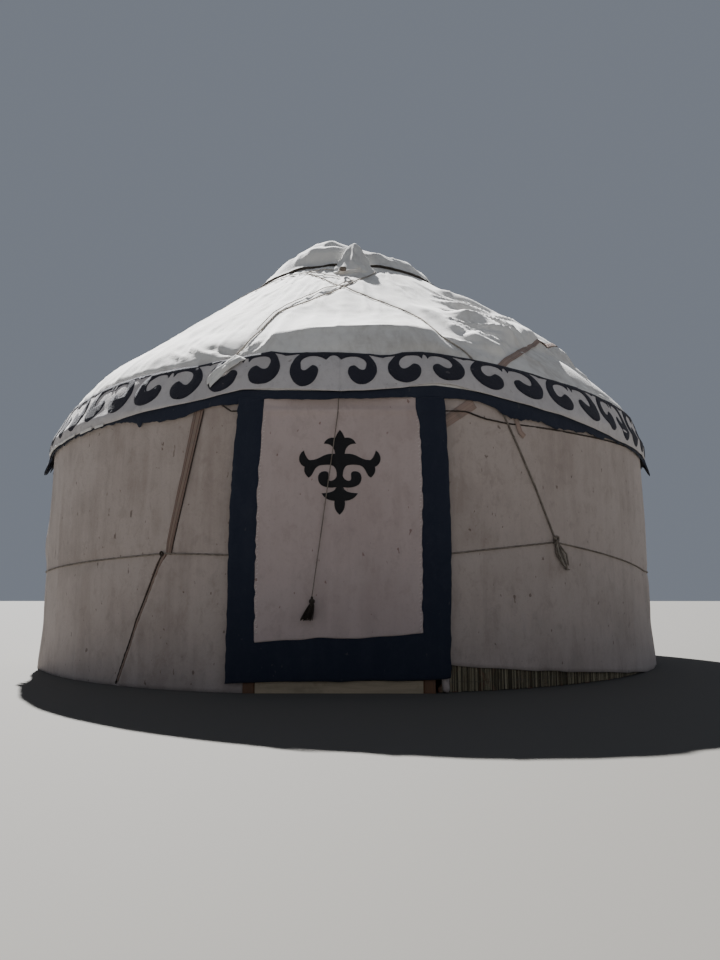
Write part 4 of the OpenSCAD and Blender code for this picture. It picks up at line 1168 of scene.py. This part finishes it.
def reedScreen(name, fromBearing, toBearing, replaced):
    step = math.degrees(reed["wide"] / reed["screenR"])
    source = np.random.default_rng(61)
    points, faces, lay = [], [], []
    for number, bearing in enumerate(np.arange(fromBearing + step / 2, toBearing - step / 2, step)):
        low = 0.0008 + source.random() * 0.006
        high = reed["high"] - source.random() * 0.03
        lean = (source.random() - 0.5) * step * 1.6
        size = reed["round"] * (0.6 + 0.4 * source.random())
        faces += tubeFaces(2, reed["sides"], len(points), flip=True)
        for height, at in ((low, bearing), (high, bearing + lean)):
            centre = around(reed["screenR"], at, height)
            outward, sideways = around(1, at, 0), around(1, at + 90, 0)
            for j in range(reed["sides"]):
                turn = 2 * math.pi * j / reed["sides"]
                points.append(centre + size * (math.cos(turn) * sideways + math.sin(turn) * outward))
                lay.append((number * 0.37 + fromBearing, height, number * 1.7))
    dress(addPiece(name, points, faces, lay, shade=False), "yurt", reeds, [replaced])
    turns = np.linspace(fromBearing, toBearing, 400)
    paths = [around(reed["screenR"] + reed["round"] + seat, turns, height + 0.004 * sine(turns * 50))
             for height in reed["cords"]]
    cords = addRope(name + "Cords", paths, reed["cordR"], pitch=0.012, step=0.03, sides=4)
    dress(cords, "yurt", hairRope)


reedScreen("reedScreenRight", 13.2, 180 - 0.05, "reed_screen_right")
reedScreen("reedScreenLeft", 180 + 0.05, 360 - 13.2, "reed_screen_left")

# A rolled bit of felt at the foot of the right jamb
roll = np.linspace(0, 1, 24)
rollPath = onWall(13.6 - 0.1 * roll, 0.012 + 0.085 * roll, 0.012 + 0.004 * np.sin(roll * 7))
dress(addRope("feltRoll", [rollPath], 0.028, pitch=0.3, step=0.01, strands=2), "yurt", wallFelt)
print("reed screens bound")


# Cover over the crown, with a thick hem round its rim
cover = {"rimR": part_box("crown_cover")[1].x, "thick": 0.012, "top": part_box("crown_cover")[1].z,
         "rimLift": 0.0175, "hemR": 0.011, "overSlats": 0.024, "columns": 240, "rows": 46}
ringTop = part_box("crown_ring")[1].z
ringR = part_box("crown_ring")[1].x


# Section of the cover: radius and height along a share of its way from the rim to the top, and its length
def coverLine(share):
    rimRadius, rimHeight = (float(size) for size in roofAt(slopeAt(cover["rimR"]), cover["rimLift"]))
    shoulderZ = ringTop + 0.0154
    domeFrom = ringR - 0.054
    domeR = ((cover["top"] - shoulderZ) ** 2 + domeFrom ** 2) / (2 * (cover["top"] - shoulderZ))
    line = [(rimRadius, rimHeight), (rimRadius - 0.03, rimHeight + 0.03), (ringR + 0.02, shoulderZ),
            (domeFrom + 0.02, shoulderZ + 0.05)]
    for radius in domeFrom * (1 - np.linspace(0, 1, 12)[1:]):
        line.append((radius, cover["top"] - domeR + math.sqrt(domeR ** 2 - radius ** 2)))
    line = np.array(line)
    lengths = lengthsAlong(line)
    at = share * lengths[-1]
    return np.interp(at, lengths, line[:, 0]), np.interp(at, lengths, line[:, 1]), lengths[-1]


# Relief of the cover in metres: its waves, the fullness and the valley beside the gathered cloth, and strips
coverRelief = {"wave": 0.008, "ripple": 0.004, "crease": 0.012, "full": 0.085, "valley": 0.03, "stand": 0.05,
               "strip": 0.014, "least": -0.03, "rimWave": 0.012}


def coverRise(bearing, share):
    signed, relief = signedBearing(bearing), coverRelief
    turn = signed + 180
    rise = relief["wave"] * waver(turn, share, 15, 1 / 5, 71)
    rise = rise + relief["ripple"] * waver(turn, share, 6, 1 / 9, 72)
    crease = 1 - np.abs(waver(turn + 4 * share, share, 8, 1 / 2, 73))
    rise = rise + relief["crease"] * crease ** 5 * smooth(0.0, 0.2, share)
    full = bell(signed, -24, 34) * bell(share, 0.42, 0.2)
    valley = bell(signed, -15, 5) * smooth(0.45, 0.1, share)
    stand = bell(signed, -14, 15) * smooth(0.06, 0.17, share) * smooth(0.6, 0.2, share)
    strips = np.maximum(bell(signed, 22, 14) * waver(turn, share, 30, 1 / 16, 75), -0.15)
    strips = strips * smooth(0.4, 0.26, share)
    rise = rise + relief["full"] * full - relief["valley"] * valley
    rise = rise + relief["stand"] * stand + relief["strip"] * strips
    rise = rise * (1 - 0.8 * smooth(0.85, 1.0, share)) * smooth(-0.05, 0.1, share)
    overSlats = cover["overSlats"] * bell(share, 0.42, 0.17)
    return np.maximum(rise, relief["least"] * smooth(0.4, 0.15, share)) + overSlats


def crownCover():
    rows, rounds = cover["rows"], cover["columns"]
    bearings = np.linspace(0, 360, rounds + 1)[None, :-1]
    share = np.linspace(0, 0.985, rows)[:, None] + 0 * bearings
    radius, height, length = coverLine(share)
    turn = signedBearing(bearings) + 180
    wave = coverRelief["rimWave"] * waver(turn, 0.5, 9, 1, 74) * smooth(0.25, 0, share)
    rise = coverRise(bearings, share)
    outer, inner = (
        around(radius + rise * 0.6 - thick * 0.6, bearings, height + rise * 0.8 + wave - thick * 0.8)
        for thick in (0, cover["thick"]))
    count = rows * rounds
    faces = tubeFaces(rows, rounds, closedFoot=False) + tubeFaces(rows, rounds, count, True, closedFoot=False)
    faces += [(j + count, (j + 1) % rounds + count, (j + 1) % rounds, j) for j in range(rounds)]
    lay = layGrid(np.radians(bearings), share * length)
    piece = addPiece("crownCover", np.concatenate([outer.reshape(-1, 3), inner.reshape(-1, 3)]), faces,
                     np.concatenate([lay.reshape(-1, 3)] * 2))
    dress(piece, "yurt", crownCanvas, ["crown_cover"])
    rim = np.concatenate([outer[0], outer[:1, 0]]) - np.array([0, 0, 0.006])
    dress(addRope("crownCoverHem", [rim], cover["hemR"], pitch=0.12, step=0.02), "yurt", darkRope)


crownCover()

# Cloth of the cover pulled together at the front into a pouch, tied at its foot: place on the roof, and the
# outline as a share of its half width and of its length
gather = {"foot": (-0.033, -(cover["rimR"] + 0.21)), "length": 0.5, "round": 0.17, "lean": 35, "shift": 0.085,
          "front": 0.42, "back": 0.8, "tieR": 0.006,
          "outline": [(0.0, 0.2), (0.03, 0.7), (0.08, 0.96), (0.15, 1.0), (0.28, 0.92), (0.43, 0.77),
                      (0.57, 0.62), (0.7, 0.5), (0.82, 0.41), (0.91, 0.33), (0.97, 0.22), (1.0, 0.05)]}


def crownGather():
    rows, sides = 56, 110
    at = np.linspace(0, 1.0, rows)[:, None]
    turn = np.linspace(0, 360, sides, endpoint=False)[None]
    size = follow(gather["outline"], at) * gather["round"]
    sway = 60 * at + 30 * wander(turn / 72, at * 2.5, 81, 5)
    folds = 1 + 0.16 * (1 - 2 * np.abs(sine(turn * 2.5 + sway)) ** 0.8) * np.sin(math.pi * at) ** 0.5
    folds = folds + 0.07 * cosine(turn * 9 + 2 * sway) * (1 - at) + 0.1 * wander(turn / 40, at * 6, 82, 9)
    depth = np.where(sine(turn) < 0, gather["front"], gather["back"])
    across = size * folds * cosine(turn)
    out = size * (folds * depth * sine(turn) + 0.4)
    up = at * gather["length"]
    lean = gather["lean"]
    footX, footY = gather["foot"]
    footZ = float(roofAt(slopeAt(-footY))[1]) + 0.024
    x = across + gather["shift"] * smooth(0.0, 0.12, at) + 0.015 * at + footX
    y = out * cosine(lean) + up * sine(lean) + footY
    z = up * cosine(lean) - out * sine(lean) + footZ
    lay = layGrid(turn / 360, up)
    points = np.stack([x, y, z], -1)
    piece = addPiece("crownGather", points.reshape(-1, 3), tubeFaces(rows, sides), lay.reshape(-1, 3))
    dress(piece, "yurt", crownCanvas, ["crown_gather"])
    foot = np.array([footX, footY - 0.045, footZ - 0.02])
    turns = np.linspace(0, 3 * 360, 70)
    knot = foot + np.stack([0.026 * cosine(turns), 0.02 * sine(turns) + 0.01, 0.012 + turns / 1080 * 0.02], 1)
    tail = [foot + np.array(p) for p in [(-0.02, 0, 0.01), (-0.035, -0.03, 0), (-0.03, -0.075, -0.045)]]
    dress(addRope("crownTie", [knot, tail], gather["tieR"]), "yurt", hairRope)


crownGather()
print("crown covered")


# Mean of each value and its neighbours
def soften(values, width):
    first, last = np.repeat(values[:1], width // 2, 0), np.repeat(values[-1:], width // 2, 0)
    padded = np.concatenate([first, values, last])
    return sum(padded[k:k + len(values)] for k in range(width)) / width


# A rope's way over the canvas through its places, straight in plan, with a hump where it crosses another
def roofRun(places, lift, hump=0.0, crossing=(0.0, 1.8)):
    corners = inPlan(places)
    lengths = lengthsAlong(corners)
    spots = soften(pointsAt(corners, lengths, np.linspace(0, lengths[-1], 120)), 5)
    bearing = np.degrees(np.arctan2(spots[:, 0], -spots[:, 1]))
    slope = slopeAt(np.hypot(spots[:, 0], spots[:, 1]))
    flat = canvasRise(bearing, slope)
    rise = np.maximum(soften(flat, 7), flat - 0.003)
    rise = rise + hump * bell(np.linalg.norm(spots - inPlan([crossing])[0], axis=1), 0, 0.09)
    return onRoof(bearing, slope, rise + lift)


# Ropes over the roof: hump and place of the crossing, and the node that each takes the place of
ropeR = {"roof": 0.0058, "thin": 0.004, "wall": 0.006, "leftTie": 0.0065, "rightTie": 0.0068, "strap": 0.0035}
for name, hump, crossing, replaced in [
        ("roofRopeLong", 0.0, (0, 1.8), "roof_rope_long"),
        ("roofRopeCross", 0.011, (-2, 1.83), "roof_rope_cross"),
        ("roofRopeBack", 0.0, (180, 1.8), "roof_rope_back"),
        ("roofRopeBackCross", 0.012, (180, 1.83), "roof_rope_back_cross")]:
    rope = addRope(name, [roofRun(roofRopes[name], 0.009, hump, crossing)], ropeR["roof"])
    dress(rope, "yurt", roofRope, [replaced])
thinCords = [
    [(3, 2.07), (-3.3, 1.88), (-7.3, 1.735), (-12.4, 1.47), (-15.2, 1.2), (-15.4, 0.8)],
    [(-18.5, 2.42), (-9.2, 2.28), (-2.5, 2.18)],
    [(-4, 2.4), (-13.2, 2.44), (-23.4, 2.425), (-34.6, 2.4), (-43, 2.22), (-60, 1.9), (-75, 1.4), (-88, 0.9),
     (-98, 0.27)],
]
cordRuns = [roofRun(places, 0.0095) for places in thinCords]
dress(addRope("roofCord", cordRuns, ropeR["thin"]), "yurt", roofRope)


def outFromRoof(points):
    slope = slopeAt(np.hypot(points[:, 0], points[:, 1]))
    bearing = np.degrees(np.arctan2(points[:, 0], -points[:, 1]))
    return onRoof(bearing, slope, 0.01) * 100 - onRoof(bearing, slope, 0.0) * 100


roofStrapPlaces = [
    (24.3, 0.34), (25.4, 0.385), (27.3, 0.465), (31.3, 0.6), (38.6, 0.84), (45, 0.99), (53, 1.06),
    (61.8, 1.09), (70, 1.06), (78, 0.97), (88, 0.75), (100, 0.25),
]


def roofStrapPath():
    bearing = np.linspace(roofStrapPlaces[0][0], roofStrapPlaces[-1][0], 110)
    slope = follow(roofStrapPlaces, bearing)
    return onRoof(bearing, slope, np.maximum(canvasRise(bearing, slope), 0.0) + 0.003)


roofStrap = addStrap("roofStrap", roofStrapPath(), 0.05, 0.004, outFromRoof)
dress(roofStrap, "yurt", paleStrap, ["roof_strap"])


# Ropes and straps on the wall, through places of bearing and height
ropeTrack = 0.0052


def wallPath(places, count, lift):
    share = np.linspace(0, 1, count)
    steps = np.linspace(0, 1, len(places))
    bearings, heights = pointsAt(np.array(places, float), steps, share).T
    return onWall(bearings, heights, wallRise(bearings, heights) + lift)


wallBearings = np.linspace(doorBearing + 0.2, 360 - doorBearing - 0.2, 500)
wallHeights = wallRopeZ(wallBearings)
wallRopePath = onWall(wallBearings, wallHeights, wallRise(wallBearings, wallHeights) + ropeTrack)
dress(addRope("wallRope", [wallRopePath], ropeR["wall"]), "yurt", hairRope, ["wall_rope"])

# The rope under the roof's edge: where it bends before the flap and meets the wall, and its sag by bearing
eaveLine = {"bendX": 0.71, "meets": 16.5, "track": wallR + 0.0068, "away": 0.02,
            "sag": [(-80, 0.03), (-22, 0.045), (-17, 0.07), (-15, 0.06), (15, 0.012), (17.2, 0.016),
                    (20, -0.022), (23.4, -0.04), (38, -0.041), (55, -0.02), (80, 0.01)]}


def eaveRopePaths():
    bearings = np.linspace(eaveLine["meets"], 360 - eaveLine["meets"], 420)
    heights = eaveRopeZ + knots(eaveLine["sag"], bearings, eaveLine["away"])
    left, right = ((x, -flapMid, eaveRopeZ) for x in (-eaveLine["bendX"], eaveLine["bendX"]))
    return [np.concatenate([[right], around(eaveLine["track"], bearings, heights), [left]]), [left, right]]


dress(addRope("eaveRope", eaveRopePaths(), ropeR["wall"]), "yurt", darkRope, ["eave_rope"])

for name, top, foot, replaced, wide, narrow, finish in [
        ("leftStrap", (-19.7, 1.83), (-23.9, 0.862), "left_strap", 0.074, 0.044, wovenStrap),
        ("rightStrap", (18.4, 1.86), (13.4, 1.69), "right_strap", 0.078, 0.07, paleStrap)]:
    strap = addStrap(name, wallPath([top, foot], 40, 0.0015), wide, 0.004, outFromAxis, narrow=narrow)
    dress(strap, "yurt", finish, [replaced])
sideCordPath = onWall(np.linspace(-18.95, -23.3, 40), np.linspace(1.81, 0.87, 40), 0.0095)
dress(addRope("strapCord", [sideCordPath], ropeR["strap"]), "yurt", darkRope)

tieTurns = np.linspace(0, 2 * 360, 40)
tieKnot = onWall(-24.9 + 0.25 * cosine(tieTurns), 0.866 + 0.014 * sine(tieTurns),
                 0.012 + 0.004 * sine(tieTurns))
tieDown = wallPath([(-24.9, 0.86), (-32.5, 0.012)], 50, 0.006)
leftTie = addRope("leftTie", [tieDown, tieKnot], ropeR["leftTie"])
dress(leftTie, "yurt", darkRope, ["left_tie"])
tieBandPath = wallPath([(-24.5, 0.868), (-25.3, 0.8), (-28.0, 0.5), (-32.1, 0.03)], 50, 0.003)
tieBand = addStrap("leftTieBand", tieBandPath, 0.036, 0.004, outFromAxis, narrow=0.018)
dress(tieBand, "yurt", wovenStrap)


# The right tie comes down to the wall rope, where it is knotted, with a looped hank of its tails
def rightTie():
    bearing, height = ropeLine["tieBearing"], ropeLine["atTie"]
    down = wallPath([(23.0, 1.8), (bearing - 0.2, height + 0.04)], 50, 0.0065)
    turns = np.linspace(0, 3 * 360, 80)
    knot = onWall(bearing + 0.4 * sine(turns), height + 0.014 + 0.024 * cosine(turns * 0.66),
                  0.016 + 0.01 * cosine(turns))
    piece = addRope("rightTie", [np.concatenate([down, knot])], ropeR["rightTie"])
    dress(piece, "yurt", hairRope, ["right_tie"])
    dark, pale = [], []
    for strand in range(6):
        swing = 0.35 * (strand - 2.5)
        foot = (bearing + 1.7 + swing * 0.5, height - 0.185 + 0.012 * abs(strand - 2.5))
        middle = (bearing + 0.9 + swing, height - 0.08)
        path = wallPath([(bearing + 0.1 * swing, height), middle, foot], 24, 0.014 + 0.006 * (strand % 2))
        (pale if strand % 3 == 1 else dark).append(path)
    dark.append(wallPath([(bearing + 1.5, height - 0.182), (bearing + 2.5, height - 0.184)], 6, 0.014))
    dress(addRope("tieTails", dark, ropeR["roof"]), "yurt", hairRope)
    dress(addRope("tieTailsPale", pale, ropeR["roof"]), "yurt", roofRope)
    loopPath = wallPath([(24.9, 1.8), (25.6, 1.69), (26.3, 1.66)], 20, 0.004)
    dress(addStrap("tieLoop", loopPath, 0.034, 0.004, outFromAxis), "yurt", paleStrap)


rightTie()
print("ropes tied")

# Door flap: dark felt with a pale panel and an ornament. Its top hangs behind the skirt and swells over the
# rope. Each edge is a line of places from the foot up: height and distance from the middle.
flap = {"foot": 0.078, "footTilt": 0.029, "top": 1.868, "thick": 0.009, "panelFoot": 0.338,
        "panelTilt": 0.056, "panelThick": 0.0045, "ropeBulge": 0.011, "bend": 0.02,
        "flat": (1.38, 1.78), "panelFlat": (1.04, 1.52),
        "left": [(0.08, -0.7), (0.74, -0.698), (1.13, -0.7), (1.53, -0.681), (1.8, -0.662), (1.87, -0.655)],
        "right": [(0.08, 0.686), (0.95, 0.704), (1.33, 0.7), (1.57, 0.69), (1.8, 0.682), (1.87, 0.678)],
        "panelLeft": [(0.3, -0.522), (0.74, -0.528), (1.13, -0.526), (1.42, -0.52), (1.8, -0.49),
                      (1.87, -0.488)],
        "panelRight": [(0.3, 0.514), (0.95, 0.522), (1.33, 0.526), (1.68, 0.514), (1.8, 0.4915),
                       (1.87, 0.49)]}
flapFront = flapMid + 0.006


def flapRise(x, z):
    wave = 0.0035 * wander(x / 0.4 + 5, z / 0.6, 91) + 0.0015 * wander(x / 0.12 + 5, z / 0.25, 92)
    wave = wave + 0.003 * (1 - smooth(0.0, 0.25, z - flap["foot"])) * wander(x / 0.2 + 7, 0.5, 93)
    return wave * smooth(0.02, 0.12, np.abs(z - eaveRopeZ)) + flap["ropeBulge"] * bell(z, eaveRopeZ, 0.022)


def flapSheet(name, left, right, foot, tilt, lift, thick, rows, ragged, seed):
    share = np.linspace(0, 1, rows)[:, None]
    side = np.linspace(-1, 1, 62)[None]
    z = foot + (flap["top"] - foot) * share + 0 * side
    leftX, rightX = follow(left, z), follow(right, z)
    near = np.abs(side) ** 16
    ragging = ragged * near * wander(z / 0.035, side * 3 + 9, seed)
    x = (leftX + rightX) / 2 + side * ((rightX - leftX) / 2 + ragging)
    z = z + tilt * side * np.abs(side) * (1 - smooth(0, 0.5, share))
    z = z + ragged * 1.6 * wander(x / 0.12 + 20, 0.5, seed + 1) * (1 - smooth(0, 0.06, share))
    y = -(flapFront + flapRise(x, z) + lift)
    return addCloth(name, np.stack([x, y, z], -1), thick, layGrid(x, z))


# Hides the nodes that a piece takes the place of, gives it its finish and bakes its place into its mesh
def bendAtRope(piece, slotName, finish, *replaced):
    if replaced:
        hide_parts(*replaced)
    piece.data.materials.append(finish)
    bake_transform(piece)


flapPiece = flapSheet("flapFelt", flap["left"], flap["right"], flap["foot"], flap["footTilt"] / 2, 0.0,
                      flap["thick"], 110, 0.0035, 94)
bendAtRope(flapPiece, "dark_felt", borderFelt, "door_flap")
panelPiece = flapSheet("flapPanel", flap["panelLeft"], flap["panelRight"], flap["panelFoot"],
                       flap["panelTilt"] / 2, seat + flap["panelThick"], flap["panelThick"], 130, 0.005, 96)
bendAtRope(panelPiece, "panel_felt", panelFelt, "flap_panel")

# Ornament on the panel: the right half from its upper bud down, in millimetres about its middle
ornament = {"middle": 1.376, "thick": 0.003, "cell": 0.04}
ornamentPlaces = [
    (0, 275), (16, 258), (24, 240), (31, 223), (66, 230), (92, 214), (104, 184), (70, 188), (36, 172),
    (31, 119), (120, 124), (120, 78), (193, 77), (212, 84), (222, 110), (232, 140), (275, 110), (270, 50),
    (225, 33), (234, 6), (222, -18), (199, -37), (160, -20), (176, 44), (107, 46), (40, 52), (22, 40),
    (19, -25), (28, -58), (72, -68), (73, -44), (76, -20), (60, 6), (100, 5), (152, 4), (150, -74),
    (108, -90), (84, -103), (50, -103), (22, -98), (34, -136), (80, -134), (116, -138), (94, -174),
    (66, -184), (33, -186), (38, -236), (22, -256), (0, -275),
]


def ornamentPiece():
    half = chain(ornamentPlaces)
    outline = half + [np.array([0.0, -275.0])] + [np.array([-p[0], p[1]]) for p in half[:0:-1]]
    points, faces, edges = fillOutline(np.array(outline) / 1000, ornament["cell"])

    def place(flat, lift):
        x, z = flat[:, 0], flat[:, 1] + ornament["middle"]
        y = -(flapFront + flapRise(x, z) + 2 * seat + flap["panelThick"] + lift)
        return np.stack([x, y, z], 1)

    lay = np.stack([points[:, 0], points[:, 1], np.zeros(len(points))], 1)
    piece = addPiece("flapOrnament", *cutOut(points, faces, edges, ornament["thick"], place, lay))
    dress(piece, "flap", ornamentFelt, ["flap_ornament"])


ornamentPiece()

# The tassel's cord comes out from under the skirt
cordTop = [(-0.008, cordRoute[1][1] - 0.004, 1.872), (-0.011, cordRoute[1][1] - 0.006, 1.82),
           cordRoute[1], cordRoute[2]]
bendAtRope(addRope("cordTop", [cordTop], tassel["cordR"], **cordLay), "rope", hairRope)

# White stitches along the panel's edges
stitch = {"from": 0.37, "to": 1.75, "apart": 0.024, "inset": 0.009, "half": 0.006, "radius": 0.0011}


def panelStitches():
    source = np.random.default_rng(97)
    shapes = []
    for edge, inward in (("panelLeft", stitch["inset"]), ("panelRight", -stitch["inset"])):
        for z in np.arange(stitch["from"], stitch["to"], stitch["apart"]):
            x = follow(flap[edge], z) + inward * source.uniform(0.5, 1.3)
            y = -(flapFront + flapRise(x, z) + seat + 2 * flap["panelThick"] - 0.004)
            lean = source.uniform(-0.004, 0.004)
            path = [(x - stitch["half"], y + 0.001, z - 0.003 + lean), (x, y - 0.0012, z),
                    (x + stitch["half"], y + 0.001, z + 0.003 - lean)]
            shapes.append(ropeShape(path, stitch["radius"], pitch=0.01, step=0.006, sides=5))
    dress(addPiece("panelStitches", *joinShapes(shapes)), "flap", canvas)


panelStitches()
print("flap hung")

# Floor and light
ground = {"half": 40, "low": -0.0005}
floorMesh = bpy.data.meshes.new("floor")
corners = [(x * ground["half"], y * ground["half"], 0) for x, y in ((-1, -1), (1, -1), (1, 1), (-1, 1))]
floorMesh.from_pydata(corners, [], [(0, 1, 2, 3)])
floor = bpy.data.objects.new("floor", floorMesh)
bpy.context.scene.collection.objects.link(floor)
floor.location.z = ground["low"]
floorFinish = Finish("floor")
floorMesh.materials.append(floorFinish.set(Base_Color=tint(0.1, 0.095, 0.085), Roughness=0.9))

lights = {"sun": {"turn": -21, "height": 49, "power": 21.0, "soft": 0.8},
          "fill": {"turn": 168, "height": 28, "power": 0.06, "soft": 60}}
for name, light in lights.items():
    data = bpy.data.lights.new(name, "SUN")
    data.energy = light["power"]
    data.angle = math.radians(light["soft"])
    lamp = bpy.data.objects.new(name, data)
    bpy.context.scene.collection.objects.link(lamp)
    flatten = cosine(light["height"])
    towards = Vector((flatten * sine(light["turn"]), flatten * cosine(light["turn"]), sine(light["height"])))
    lamp.rotation_euler = towards.to_track_quat("Z", "Y").to_euler()
world = bpy.data.worlds.new("world")
bpy.context.scene.world = world
world.use_nodes = True
sky = {"Color": tint(0.72, 0.8, 0.95), "Strength": 0.25}
for key, value in sky.items():
    world.node_tree.nodes["Background"].inputs[key].default_value = value
print("floor and light set")
